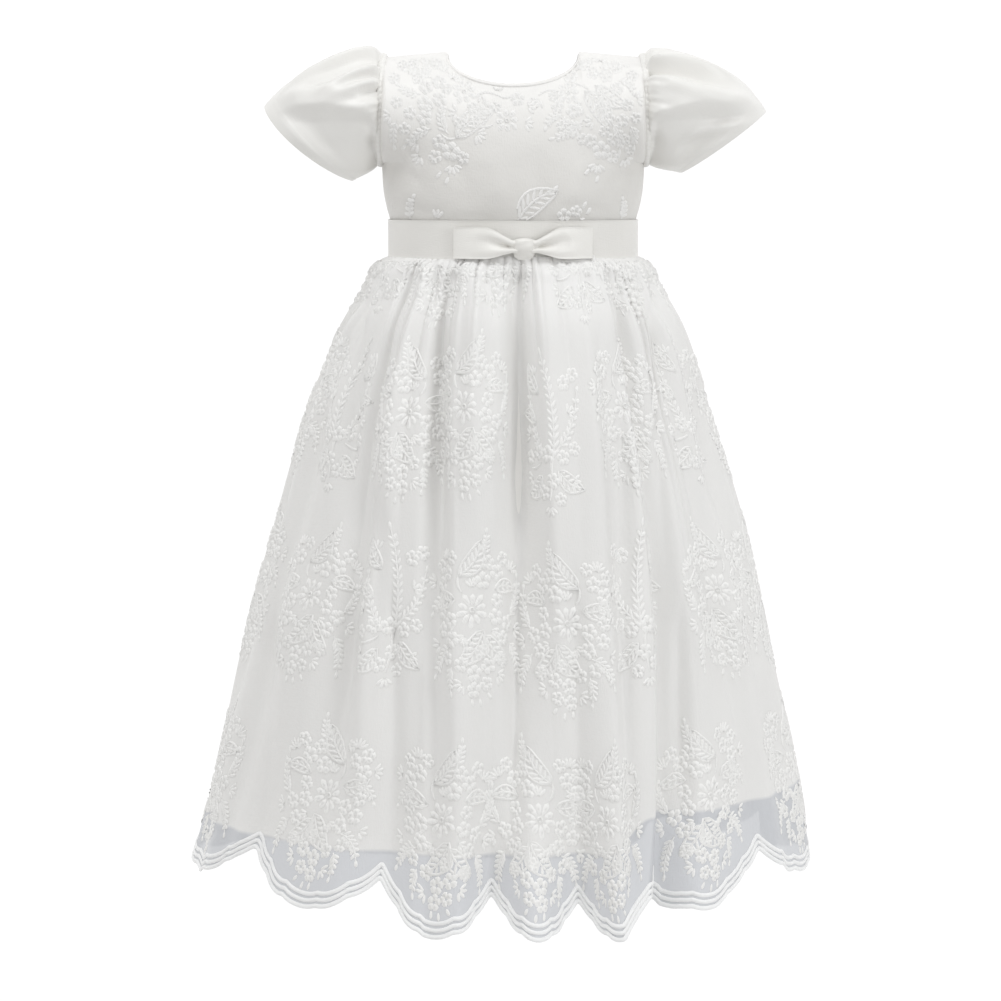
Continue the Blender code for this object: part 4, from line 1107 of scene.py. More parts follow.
def chart(line0, t_low, t_high):
    """Distances across the folded cloth from one of its lines, at several heights."""
    lines = line0 + np.linspace(-6.0, 6.0, 241)
    levels = np.linspace(t_high, t_low, 9)
    line, t = np.meshgrid(lines, levels)
    points = lace_at(line, t, fine=False)
    step = np.linalg.norm(np.diff(points, axis=1), axis=-1)
    run = np.concatenate([np.zeros((9, 1)), np.cumsum(step, axis=1)], axis=1)
    return lines, levels, run - run[:, 120:121]


def motifs_round(start, end):
    """The bouquets of one panel, each on its own place of the gathered cloth."""
    parts = []
    number = 0
    for row, (low, wide, places, sprigs) in enumerate(MOTIF_ROWS):
        for index, line0 in enumerate(places):
            number += 1
            if not start - 2.5 <= line0 < end + 2.5:
                continue
            drop = low + 0.0065 * math.sin(number * 2.3) * (row > 0)
            lines, levels, runs = chart(line0, drop / LONG, max(drop - 0.136, 0.0) / LONG)
            width = wide
            if row == 0:
                k = MIDDLES.index(line0)
                width = wide * min(1.0, (CUSP_EDGES[k + 1] - CUSP_EDGES[k]) / 0.106)

            def place(x, y, drop=drop, width=width, lines=lines, levels=levels, runs=runs):
                t = (drop - y / 1000) / LONG
                at = np.clip((t - levels[0]) / (levels[1] - levels[0]), 0, 7.999)
                low_k = at.astype(int)
                every = np.stack([np.interp(x / 1000 * width, run, lines) for run in runs])
                here = np.take_along_axis(every, low_k[None], 0)[0]
                there = np.take_along_axis(every, low_k[None] + 1, 0)[0]
                line = here + (there - here) * (at - low_k)
                good = (t > 0.007) & (line >= start + 0.02) & (line <= end - 0.02)
                return lace_at(line, t), lace_normal(line, t), good

            turn = 0.04 * math.sin(number * 1.7)
            pattern = SPRIG if index in sprigs else MOTIF
            parts.append(
                stitched_on(pattern, place, 1.0 if number % 2 else -1.0, 1.0, turn)
            )
    return [part for part in parts if len(part[1])]


for name, start, end in (("front", SIDE_LEFT, SIDE_RIGHT), ("back", SIDE_RIGHT, FOLD_COUNT)):
    joined(
        "skirt_embroidery_" + name, motifs_round(start, end), SKIRT_THREAD_PAINTED_LIGHT
    )


# ================================================================ bodice
def bodice_surface(front):
    sign = -1.0 if front else 1.0
    depth_column = 2 if front else 3
    neck_depth, neck_z = NECK_FRONT if front else NECK_BACK
    arm_depth = ARM_DEPTH_FRONT if front else ARM_DEPTH_BACK

    def surface(u, v):
        s, c = np.sin(u), np.cos(u)
        low = np.clip(v, 0.0, 1.0)
        h = np.clip(v - 1.0, 0.0, 1.0)
        z_low = WAIST_Z + (UNDERARM_Z - WAIST_Z) * low
        half = np.where(
            v <= 1.0, column(BODICE, z_low, 1), ARM_X_LOW + (ARM_X_TOP - ARM_X_LOW) * h
        )
        # the chest's slope carries on past the underarm and fades, so no line shows there
        slope = (BODICE[-1][depth_column] - BODICE[-2][depth_column]) / (
            BODICE[-1][0] - BODICE[-2][0]
        )
        above = h * 0.075
        depth = column(BODICE, z_low, depth_column)
        depth = depth + slope * above * np.exp(-above / 0.018)
        x_top = ARM_X_TOP * s
        share = np.clip(np.abs(x_top) / NECK_HALF, 0.0, 1.0)
        on_neck = np.sqrt(np.maximum(1 - share**2, 0.0))
        seam = np.clip((np.abs(x_top) - NECK_HALF) / (ARM_X_TOP - NECK_HALF), 0.0, 1.0)
        z_seam = SHOULDER_NECK_Z + (SHOULDER_ARM_Z - SHOULDER_NECK_Z) * seam
        z_top = z_seam + (neck_z - SHOULDER_NECK_Z) * on_neck
        y_top = neck_depth * on_neck
        y_low = depth * c
        k = 0.46 + 0.42 * (1 - on_neck**2)
        k = np.where(np.abs(k - 0.5) < 1e-3, 0.501, k)
        q = (-k + np.sqrt(k * k + (1 - 2 * k) * h)) / (1 - 2 * k)
        y = y_low + (y_top - y_low) * q * q
        edge = 3.4 + 9.0 * np.exp(-h / 0.10)
        inner = 0.8 * (1 - np.abs(s))
        bow = np.sqrt(np.maximum(h * (1 - h), 0.0) + inner**2) - inner
        y = y + arm_depth * 2 * bow * np.abs(s) ** edge
        z = np.where(v <= 1.0, z_low, UNDERARM_Z + (z_top - UNDERARM_Z) * h)
        return np.stack([half * s, sign * y, z], axis=-1)

    return surface


NECK_ANGLE = math.asin(NECK_HALF / ARM_X_TOP)
INSIDE = ((-1.53, 1.53), (0.005, 1.985))
# soft troughs and ridges: start x, z, end x, z, width, rise, bow
FRONT_CREASES = (
    (-0.094, -0.086, -0.066, -0.112, 0.0035, -0.0011, 0.004),
    (-0.090, -0.078, -0.072, -0.098, 0.0030, 0.0010, 0.003),
    (0.095, -0.084, 0.072, -0.118, 0.0040, -0.0010, -0.004),
    (0.088, -0.074, 0.074, -0.096, 0.0030, 0.0008, -0.003),
    (-0.048, -0.084, -0.036, -0.128, 0.0075, -0.0012, 0.006),
    (-0.022, -0.080, -0.012, -0.126, 0.0090, 0.0011, 0.004),
    (0.018, -0.078, 0.026, -0.124, 0.0085, -0.0010, -0.004),
    (0.052, -0.086, 0.046, -0.128, 0.0070, 0.0009, -0.003),
    (-0.080, -0.106, -0.084, -0.130, 0.0050, 0.0008, 0.0),
    (0.084, -0.108, 0.086, -0.130, 0.0050, -0.0008, 0.0),
    (-0.090, -0.118, -0.050, -0.124, 0.0035, -0.0007, -0.002),
    (0.034, -0.120, 0.078, -0.126, 0.0035, -0.0006, 0.002),
    (-0.070, -0.014, -0.060, -0.040, 0.0045, 0.0006, 0.002),
    (0.072, -0.014, 0.064, -0.040, 0.0045, 0.0006, -0.002),
)
BACK_CREASES = (
    (-0.092, -0.084, -0.060, -0.116, 0.0040, -0.0010, 0.004),
    (0.092, -0.084, 0.064, -0.112, 0.0040, -0.0010, -0.004),
    (-0.040, -0.080, -0.034, -0.126, 0.0080, 0.0011, 0.004),
    (0.044, -0.084, 0.038, -0.128, 0.0070, -0.0010, -0.003),
    (-0.016, -0.070, -0.020, -0.124, 0.0055, -0.0009, 0.003),
    (0.018, -0.064, 0.022, -0.120, 0.0060, 0.0009, -0.003),
    (-0.078, -0.104, -0.082, -0.130, 0.0050, -0.0008, 0.0),
    (0.080, -0.106, 0.084, -0.130, 0.0050, 0.0008, 0.0),
)


def bodice_columns(whole, neck=26, shoulder=22):
    inner = [
        math.asin(NECK_HALF / ARM_X_TOP * math.sin(math.pi / 2 * i / neck)) for i in range(neck + 1)
    ]
    outer = [
        NECK_ANGLE + (math.pi / 2 - NECK_ANGLE) * i / shoulder for i in range(1, shoulder + 1)
    ]
    half = np.array(inner + outer)
    return np.concatenate([-half[:0:-1], half]) if whole else half


def bodice_faces(front):
    """The cloth's outer face with its creases, as a function of the two numbers."""
    plain = bodice_surface(front)
    table = FRONT_CREASES if front else BACK_CREASES
    outward = 1.0 if front else -1.0

    def surface(u, v):
        points = plain(u, v)
        normals = normals_of(
            plain, np.clip(u, *INSIDE[0]), np.clip(v, *INSIDE[1]), outward
        )
        still = smooth(1.5708 - np.abs(u), 0.0, 0.12) * (1 - smooth(v, 1.9, 2.0)) * smooth(v, 0.4, 0.46)
        moved = creased(points, normals, table)
        # the neck edge is turned in and stitched
        return points + (moved - points) * still[..., None]

    return surface


BODICE_ROWS = np.concatenate(
    [np.linspace(0.0, 1.0, 34)[:-1], 1.0 + (1 - np.cos(np.pi * np.linspace(0, 1, 44))) / 2]
)
for name, front, side in (
    ("bodice_front", True, 0.0),
    ("bodice_back_left", False, -1.0),
    ("bodice_back_right", False, 1.0),
):
    face = bodice_faces(front)
    columns = bodice_columns(front)
    if not front:
        columns = side * columns
    u, v = np.meshgrid(columns, BODICE_ROWS)
    outward = 1.0 if front else -1.0
    outer = face(u, v)
    nu, nv = np.clip(u, *INSIDE[0]), np.clip(v, *INSIDE[1])
    normal = normals_of(bodice_surface(front), nu, nv, outward)
    inner = outer - WALL * normal
    sign = -1.0 if front else 1.0
    inner[..., 1] = sign * np.maximum(sign * inner[..., 1], 0.0001)
    if not front:
        inner[..., 0] = side * np.maximum(side * inner[..., 0], 0.0001)
        outer[..., 0] = side * np.maximum(side * outer[..., 0], 0.0001)
    uvs = np.stack([outer[..., 0], outer[..., 2]], -1)
    made = wall_piece(
        name + "_cloth", outer, inner, BODICE_SATIN, uvs,
        flip=(not front and side > 0),
    )
    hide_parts(name)


def bodice_place(front):
    """Gives the place and normal on the bodice over a flat (x, z) in millimetres."""
    face = bodice_faces(front)
    neck_z = (NECK_FRONT if front else NECK_BACK)[1]
    outward = 1.0 if front else -1.0

    def place(x, y):
        x, z = x / 1000, y / 1000
        v = np.clip((z - WAIST_Z) / (UNDERARM_Z - WAIST_Z), 0, 1)
        good = np.ones(len(x), bool)
        for _ in range(6):
            z_low = WAIST_Z + (UNDERARM_Z - WAIST_Z) * np.clip(v, 0, 1)
            h = np.clip(v - 1, 0, 1)
            half = np.where(
                v <= 1.0, column(BODICE, z_low, 1), ARM_X_LOW + (ARM_X_TOP - ARM_X_LOW) * h
            )
            u = np.arcsin(np.clip(x / half, -0.999, 0.999))
            x_top = ARM_X_TOP * np.sin(u)
            share = np.clip(np.abs(x_top) / NECK_HALF, 0.0, 1.0)
            on_neck = np.sqrt(np.maximum(1 - share**2, 0.0))
            seam = np.clip((np.abs(x_top) - NECK_HALF) / (ARM_X_TOP - NECK_HALF), 0.0, 1.0)
            z_top = (
                SHOULDER_NECK_Z
                + (SHOULDER_ARM_Z - SHOULDER_NECK_Z) * seam
                + (neck_z - SHOULDER_NECK_Z) * on_neck
            )
            v = np.where(
                z <= UNDERARM_Z,
                (z - WAIST_Z) / (UNDERARM_Z - WAIST_Z),
                1 + (z - UNDERARM_Z) / (z_top - UNDERARM_Z),
            )
            v_kept = np.clip(v, 0.0, 1.97)
        good &= (v < 1.955) & (v > 0.40) & (np.abs(x / half) < 0.985)
        v = v_kept
        return face(u, v), normals_of(face, u, v, outward), good

    return place


def bodice_front_motif():
    """Sprays over both shoulders and round the neck, and a leaf and flowers at the waist,
    in millimetres of x and z."""
    m = Motif()
    # viewer's left
    m.daisy(-37, -34, 10.5, 8, 0.3)
    m.leaf(-43, -69, 36, 35, 15, 6, bend=0.10)
    m.flower(-20, -47, 6.6, 5, 0.4)
    m.daisy(-5, -56, 10.0, 8, 0.1)
    for x, z, r, turn in (
        (-67, -43, 6.2, 0.2), (-56, -40, 5.8, 0.9), (-67, -54, 6.2, 0.6), (-78, -50, 5.4, 0.1),
        (-56, -27, 5.8, 0.4), (-66, -31, 5.6, 0.8), (-47, -79, 7.6, 0.1), (-56, -72, 5.8, 0.3),
        (-59, -83, 5.6, 0.8), (-38, -84, 5.4, 0.5), (3, -40, 5.6, 0.4), (-30, -47, 5.4, 0.0),
    ):
        m.flower(x, z, r, 5, turn)
    m.fern((-49, -66), (-58, -56), (-52, -44), 6, 6.4, 38)
    m.fern((-62, -62), (-72, -64), (-81, -74), 5, 6.2)
    m.fern((-62, -24), (-70, -18), (-80, -18), 5, 5.6)
    m.fern((-50, -20), (-54, -12), (-64, -10), 4, 5.2)
    m.fern((-70, -36), (-80, -36), (-86, -30), 4, 5.6)
    m.curve((-29, -38), (-22, -32), (-12, -37), 2.0)
    m.curve((-12, -37), (-4, -42), (2, -35), 2.0, 5)
    m.spray(-12, -35, 80, 3, 80, 4.8, 2.2)
    m.spray(-24, -36, 250, 3, 90, 5.0, 2.3)
    m.spray(-46, -89, -80, 5, 120, 6.0)
    m.leaflet(-54, -94, -130, 6.5)
    m.leaflet(-49, -98, -110, 6)
    m.spray(-72, -72, 200, 5, 130, 6.6)
    m.spray(-28, -66, -30, 5, 120, 6.4)
    m.spray(10, -46, 10, 4, 110, 5.4)
    m.spray(-42, -50, 180, 4, 120, 6.0)
    m.spray(8, -58, -10, 4, 100, 5.6)
    m.curve((-43, -69), (-50, -72), (-54, -66), 2.0, 5)
    m.curve((-30, -60), (-22, -63), (-15, -59), 2.0, 5)
    for x, z, r, turn in (
        (-82, -62, 5.2, 0.3), (-88, -42, 5.0, 0.7), (-72, -24, 5.0, 0.2), (-90, -24, 4.8, 0.5),
        (-40, -58, 5.2, 0.6), (-58, -13, 4.8, 0.3), (-76, -12, 4.6, 0.6), (-29, -56, 4.8, 0.2),
        (-50, -32, 4.6, 0.1), (-13, -46, 4.6, 0.5), (-84, -14, 4.6, 0.2), (-36, -20, 4.2, 0.3),
    ):
        m.flower(x, z, r, 5, turn)
    m.spray(-92, -52, 200, 4, 110, 5.6)
    m.spray(-60, -48, 160, 4, 110, 5.6)
    m.spray(-46, -26, 60, 4, 110, 5.2)
    m.spray(-70, -82, 230, 4, 100, 6.0)
    m.fern((-66, -22), (-64, -14), (-70, -8), 4, 4.8)
    m.fern((-88, -56), (-92, -64), (-90, -74), 4, 5.2)
    m.fern((-34, -26), (-40, -18), (-46, -14), 4, 4.8)
    # viewer's right
    m.daisy(41, -35, 9.6, 8, 0.1)
    for x, z, r, turn in (
        (90, -22, 4.8, 0.2), (78, -16, 4.6, 0.6), (66, -46, 5.2, 0.4), (72, -54, 5.0, 0.1),
        (92, -54, 4.8, 0.7), (52, -70, 5.0, 0.3), (84, -70, 4.8, 0.5), (36, -60, 4.8, 0.2),
        (54, -14, 4.6, 0.4), (68, -64, 4.8, 0.8), (30, -38, 4.4, 0.1), (88, -78, 4.6, 0.3),
    ):
        m.flower(x, z, r, 5, turn)
    m.spray(60, -56, 200, 4, 110, 5.6)
    m.spray(92, -40, 10, 4, 110, 5.2)
    m.spray(66, -12, 90, 4, 110, 5.0)
    m.spray(84, -84, -60, 4, 110, 5.6)
    m.fern((88, -60), (92, -66), (91, -74), 4, 5.0)
    m.fern((52, -60), (42, -60), (36, -54), 4, 5.2)
    m.leaf(54, -34, -58, 34, 15, 6, bend=0.10)
    m.leaf(62, -30, -32, 28, 12, 5, bend=-0.10)
    for x, z, r, turn in (
        (43, -22, 6.0, 0.2), (45, -49, 6.0, 0.7), (70, -22, 5.6, 0.5), (78, -32, 5.6, 0.0),
        (82, -56, 5.6, 0.3), (66, -78, 7.4, 0.3), (58, -71, 5.6, 0.6), (75, -83, 5.4, 0.2),
        (75, -70, 5.4, 0.9), (33, -46, 5.2, 0.4), (86, -44, 5.2, 0.4), (60, -20, 5.2, 0.1),
    ):
        m.flower(x, z, r, 5, turn)
    m.fern((52, -56), (44, -66), (31, -69), 6, 6.6)
    m.fern((36, -52), (28, -52), (25, -60), 4, 5.8)
    m.fern((66, -16), (74, -12), (84, -14), 4, 5.2)
    m.fern((48, -18), (52, -12), (60, -10), 4, 5.0)
    m.fern((74, -58), (82, -66), (80, -77), 5, 6.0)
    m.fern((80, -26), (88, -26), (90, -34), 4, 5.2)
    m.spray(63, -88, -100, 5, 120, 6.2)
    m.leaflet(57, -92, -130, 6)
    m.leaflet(64, -97, -110, 5.5)
    m.spray(47, -62, 230, 4, 110, 6.2)
    m.spray(88, -66, -20, 3, 80, 5.6)
    m.spray(52, -44, 210, 4, 110, 6.0)
    m.curve((33, -34), (26, -31), (19, -37), 2.0)
    m.spray(20, -40, 230, 4, 110, 5.2, 2.4)
    m.curve((56, -32), (50, -28), (46, -28), 2.0, 5)
    # along the waist
    m.leaf(3, -131, 37, 38, 17, 6, bend=0.12)
    m.leaflet(29, -110, 52, 7)
    m.flower(38, -127, 5.8, 5, 0.4)
    m.flower(47, -124, 5.0, 5, 0.1)
    m.leaflet(52, -122, 62, 6.5)
    m.leaflet(55, -126, 52, 6)
    m.leaflet(49, -131, 20, 5)
    m.fern((-78, -130), (-80, -120), (-76, -114), 4, 5.0)
    m.spray(-58, -130, 80, 3, 60, 6.4)
    m.fern((82, -130), (86, -122), (84, -116), 4, 4.8)
    return m


def bodice_back_motif(side):
    """The same kind of sprays on the back, clear of the buttons."""
    m = Motif()
    rows = (
        ("daisy", 44, -38, 8.8, 8), ("flower", 66, -34, 5.0, 5), ("flower", 74, -46, 5.2, 5),
        ("flower", 62, -80, 6.4, 6), ("flower", 54, -72, 4.8, 5), ("flower", 70, -86, 4.8, 5),
        ("flower", 28, -42, 5.0, 5), ("daisy", 22, -60, 8.4, 7),
    )
    for kind, x, y, r, petals in rows:
        getattr(m, kind)(side * x, y, r, petals, 0.3)
    m.leaf(side * 52, -44, -60 if side > 0 else -120, 27, 14, 4)
    m.fern((side * 50, -30), (side * 56, -18), (side * 66, -14), 5, 4.8)
    m.fern((side * 72, -56), (side * 80, -62), (side * 80, -72), 5, 5.0)
    m.fern((side * 40, -50), (side * 34, -62), (side * 38, -72), 5, 5.4)
    m.spray(side * 58, -92, -90, 4, 110, 5.4)
    m.spray(side * 34, -32, 100, 4, 110, 4.8)
    m.spray(side * 84, -38, 90 - side * 80, 3, 80, 5.0)
    m.leaf(side * 20, -130, 90 - side * 48, 28, 13, 4)
    m.flower(side * 50, -126, 5.0, 5, 0.2)
    m.spray(side * 60, -126, 90 - side * 30, 3, 70, 5.0)
    m.fern((side * 84, -130), (side * 86, -122), (side * 82, -114), 4, 4.4)
    return m


front_parts = [stitched_on(bodice_front_motif().arrays(3), bodice_place(True), 1.0, 1.0)]
joined("bodice_embroidery_front", front_parts, BODICE_THREAD_PAINTED_SHADE)
back_parts = []
for side in (-1.0, 1.0):
    points, faces, uvs = stitched_on(
        bodice_back_motif(side).arrays(3), bodice_place(False), 1.0, 1.0
    )
    back_parts.append((points, faces[:, ::-1], uvs))
joined("bodice_embroidery_back", back_parts, BODICE_THREAD_PAINTED_SHADE)


def band_on(surface, us, vs, outward, width, height, base=0.0001, closed=False):
    """A raised band along a path of a surface."""
    path = surface(us, vs)
    normal = normals_of(surface, us, vs, outward)
    forward = np.gradient(path, axis=0)
    forward /= np.linalg.norm(forward, axis=1, keepdims=True)
    side = np.cross(forward, normal)
    side /= np.linalg.norm(side, axis=1, keepdims=True)
    return ribs_along(path + normal * base, normal, side, width, height, closed=closed, taper=False)


# neck edging round the front and the back
trim = []
for front in (True, False):
    face = bodice_surface(front)
    outward = 1.0 if front else -1.0
    us = np.linspace(-NECK_ANGLE, NECK_ANGLE, 121)
    if front:
        spans = [us]
    else:
        spans = [us[us < -0.004], us[us > 0.004]]
    for span in spans:
        trim.append(band_on(face, span, np.full_like(span, 1.972), outward, 0.0026, 0.0009))
joined("neck_edging", trim, BODICE_SATIN)


# ================================================================ sleeves
def armhole_point(angle, side):
    h = (1 - np.cos(angle)) / 2
    depth = np.where(np.sin(angle) > 0, ARM_DEPTH_FRONT, ARM_DEPTH_BACK)
    x = side * (ARM_X_LOW + (ARM_X_TOP - ARM_X_LOW) * h + GAP + 0.0002)
    z = UNDERARM_Z + (SHOULDER_ARM_Z - UNDERARM_Z) * h
    return np.stack([x, -depth * np.sin(angle), z], axis=-1)


# folds that run out from the gathered armhole, for either sleeve and then for both: angle from
# its top, above 0 in front, and share of the way to the cuff, at the start and at the end, half
# width in degrees and rise
FOLDS_LEFT = (
    (4.0, 0.00, 8.0, 0.80, 8.0, -0.0034),
    (24.0, 0.00, 31.0, 0.86, 3.2, 0.0052),
    (31.0, 0.00, 38.0, 0.60, 3.4, -0.0026),
    (37.0, 0.00, 50.0, 0.66, 5.0, -0.0070),
    (48.0, 0.00, 57.0, 0.55, 3.4, 0.0060),
    (57.0, 0.44, 38.0, 0.86, 4.4, 0.0030),
    (56.0, 0.00, 60.0, 0.38, 2.4, -0.0020),
    (62.5, 0.00, 64.0, 0.56, 3.4, 0.0030),
    (69.0, 0.00, 70.0, 0.24, 3.0, -0.0052),
    (77.0, 0.02, 70.0, 0.50, 3.6, -0.0026),
    (84.0, 0.00, 80.0, 0.24, 3.0, 0.0016),
)
FOLDS_RIGHT = (
    (6.0, 0.00, 4.0, 0.60, 6.0, -0.0014),
    (24.0, 0.00, 20.0, 0.50, 5.0, -0.0016),
    (41.0, 0.00, 24.0, 0.72, 3.3, 0.0064),
    (51.0, 0.00, 40.0, 0.72, 4.6, -0.0086),
    (58.5, 0.00, 57.0, 0.34, 3.0, 0.0026),
    (64.5, 0.00, 63.0, 0.22, 2.6, -0.0024),
    (66.0, 0.00, 56.0, 0.60, 5.0, 0.0050),
    (62.0, 0.46, 36.0, 0.94, 6.0, 0.0032),
    (83.0, 0.00, 78.0, 0.34, 3.2, -0.0020),
    (98.0, 0.56, 62.0, 1.00, 5.0, 0.0034),
    (112.0, 0.58, 78.0, 0.96, 7.0, -0.0030),
)
FOLDS_BOTH = (
    (-128.0, 0.00, -122.0, 0.30, 7.0, -0.0014),
    (-104.0, 0.00, -98.0, 0.45, 6.0, 0.0016),
    (-88.0, 0.00, -82.0, 0.40, 4.0, -0.0030),
    (-74.0, 0.00, -64.0, 0.62, 5.0, 0.0028),
    (-61.0, 0.00, -55.0, 0.45, 3.6, -0.0040),
    (-47.0, 0.00, -40.0, 0.74, 5.0, 0.0034),
    (-33.0, 0.00, -29.0, 0.55, 4.0, -0.0036),
    (-18.0, 0.00, -15.0, 0.66, 5.0, 0.0022),
    (-6.0, 0.00, -6.0, 0.45, 3.6, -0.0018),
    (108.0, 0.00, 104.0, 0.36, 6.0, 0.0012),
    (124.0, 0.00, 120.0, 0.30, 5.0, -0.0014),
    (142.0, 0.00, 138.0, 0.28, 7.0, 0.0010),
)
# the puffed top sags over the plain underside along a soft ridge: its angle at the armhole
# and at the cuff, its rise, and how far the cloth draws in below it
TUCK = (94.0, 42.0, 0.0034, 0.0080)
PUCKERS = 58
pucker_rise = random.uniform(0.5, 1.3, PUCKERS)


def sleeve_surface(side, cuff_x, cuff_z, cuff_half, lean_x, lean_z, fuller, bowed, fine=True):
    shares = np.array([row[0] for row in SLEEVE_SECTIONS])
    puffs = np.array([row[1:] for row in SLEEVE_SECTIONS])
    lean = np.array([side * lean_x, 0.0, lean_z])
    lean /= np.linalg.norm(lean)
    table = np.stack([shares, *puffs.T], -1)

    def surface(u, v):
        t = np.clip(v, 0.0, 1.0)
        start = armhole_point(u, side)
        middle = armhole_point(np.zeros_like(u), side) * 0.5 + armhole_point(
            np.full_like(u, np.pi), side
        ) * 0.5
        spoke = start - middle
        cuff_centre = np.array([side * cuff_x, 0.0, cuff_z])
        cuff_spoke = (
            -np.cos(u)[..., None] * cuff_half * lean
            - np.sin(u)[..., None] * CUFF_DEPTH * np.array([0.0, 1.0, 0.0])
        )
        ease = t[..., None]
        centre = middle + (cuff_centre - middle) * ease
        out = spoke + (cuff_spoke - spoke) * ease
        length = np.linalg.norm(out, axis=-1, keepdims=True)
        top = ((1 - np.cos(u)) / 2) ** 1.5
        under = ((1 + np.cos(u)) / 2) ** 1.5
        flank = np.abs(np.sin(u)) ** 1.5
        puff = (
            top * (column(table, t, 1) + fuller * np.sin(np.pi * t**1.5))
            + flank * column(table, t, 2)
            + under * column(table, t, 3)
        )
        from_top = np.degrees(u) - 180.0
        for angle, width, rise, reach in SLEEVE_PLEATS:
            near = np.exp(-(((from_top - angle) / width) ** 2))
            along = np.clip(t / 0.06, 0, 1) * np.clip(1 - t / reach, 0, 1) ** 0.8
            puff = puff + rise * near * along
        if fine:
            for angle, start_at, angle_end, end_at, width, rise in (
                FOLDS_LEFT if side < 0 else FOLDS_RIGHT
            ) + FOLDS_BOTH:
                # the front of either sleeve is where sin(u) is above 0, below 180 degrees
                share = (t - start_at) / (end_at - start_at)
                off = from_top + angle + (angle_end - angle) * share
                spread = width * (1 + 1.2 * t)
                along = smooth(t, 0.0, 0.05) * smooth(share, -0.2, 0.15) * (
                    1 - smooth(share, 0.55, 1.12)
                )
                puff = puff + rise * np.exp(-((off / spread) ** 2)) * along
            below = np.abs(from_top) - (TUCK[0] + (TUCK[1] - TUCK[0]) * t)
            held = smooth(t, 0.0, 0.18) * (1 - smooth(t, 0.70, 0.93))
            puff = puff + held * (
                TUCK[2] * np.exp(-((below / np.where(below < 0, 18.0, 7.0)) ** 2))
                - TUCK[3] * smooth(below, 0.0, 17.0) * (1 - smooth(below, 40.0, 92.0))
            )
            at = np.degrees(u) / 360.0 * PUCKERS
            whole = np.floor(at).astype(int)
            part = at - whole - 0.5
            beside = pucker_rise[np.mod(whole + np.where(part < 0, -1, 1), PUCKERS)]
            whole = pucker_rise[np.mod(whole, PUCKERS)]
            gathered = 0.35 + 0.65 * top
            puff = puff + 0.0017 * gathered * (
                whole * np.abs(np.sin(np.pi * at))
                - 0.5 * (whole + (beside - whole) * np.abs(part))
            ) * smooth(t, 0.0, 0.02) * np.exp(-((t / 0.11) ** 1.3))
            # the turned-up hem and its stitches
            puff = puff - 0.0002 * np.exp(-(((1 - t) * 0.075 - 0.0100) / 0.0014) ** 2)
            puff = puff + 0.0003 * smooth(t, 0.85, 0.89)
        past = (bowed * np.abs(np.sin(u)) ** 1.5 * t * t / 0.07 + (v - t) * 0.01)[..., None]
        return centre + out * (1 + puff[..., None] / length) + past * (cuff_centre - middle)

    return surface


for name, side, *shape in SLEEVES:
    surface = sleeve_surface(side, *shape)
    u = np.linspace(0, 2 * np.pi, 288, endpoint=False)
    v = np.concatenate([np.linspace(0, 0.14, 16)[:-1], np.linspace(0.14, 0.86, 26)[:-1], np.linspace(0.86, 1.0, 16)])
    u, v = np.meshgrid(u, v)
    outer = surface(u, v)
    normal = normals_of(surface, u, np.clip(v, 0.002, 0.998), -side, 1e-3, 1e-3)
    inner = outer - 0.0010 * normal
    uvs = np.stack([u * 0.045, v * 0.075], -1)
    made = wall_piece(
        name + "_cloth", outer, inner, SATIN, uvs, closed=True, flip=(side < 0)
    )
    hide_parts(name)


# the gathered seam allowance that rounds off each armhole, bumpy where the gathers run in
seam_parts = []
for side in (-1.0, 1.0):
    steps = 520
    angle = np.linspace(0, 2 * np.pi, steps, endpoint=False)
    path = armhole_point(angle, side)
    path[:, 0] += side * 0.0004
    spoke = path - armhole_point(angle + np.pi, side)
    spoke[:, 0] = 0.0
    spoke /= np.linalg.norm(spoke, axis=1, keepdims=True)
    across = np.broadcast_to(np.array([side, 0.0, 0.0]), spoke.shape)
    ring = np.linspace(0, 2 * np.pi, 8, endpoint=False)
    bump = 1.0 + 0.30 * (np.abs(np.sin(angle * PUCKERS / 2)) - 0.6)
    thick = 0.0019 * bump[:, None, None]
    around = (
        path[:, None, :]
        + across[:, None, :] * (np.cos(ring)[None, :, None] * 0.0029)
        + spoke[:, None, :] * (np.sin(ring)[None, :, None] * thick + 0.0012)
    )
    number = np.arange(steps * 8).reshape(steps, 8)
    ahead = np.roll(number, -1, 0)
    faces = np.stack(
        [number, np.roll(number, -1, 1), np.roll(ahead, -1, 1), ahead], -1
    ).reshape(-1, 4)
    if side > 0:
        faces = faces[:, ::-1]
    uvs = np.stack(np.broadcast_arrays(ring[None, :] * 0.0012, angle[:, None] * 0.045), -1)
    seam_parts.append((around.reshape(-1, 3), faces, uvs.reshape(-1, 2)))
joined("armhole_seams", seam_parts, SATIN)

# ================================================================ sash and bow
def sash_at(u, v):
    back = np.cos(u) < 0
    depth = np.where(back, SASH_BACK, SASH_FRONT)
    z = SASH_Z[0] + (SASH_Z[1] - SASH_Z[0]) * v
    swell = 0.0002 * np.sin(5 * u + 1.1) + 0.00015 * np.sin(11 * u + 0.4)
    rim = 0.0003 * (np.exp(-((v / 0.035) ** 2)) + np.exp(-(((1 - v) / 0.035) ** 2)))
    off = swell * np.sin(np.pi * v) + rim
    nx, ny = np.sin(u) / SASH_HALF, -np.cos(u) / depth
    size = np.hypot(nx, ny)
    return np.stack(
        [SASH_HALF * np.sin(u) + off * nx / size, -depth * np.cos(u) + off * ny / size, z], axis=-1
    )


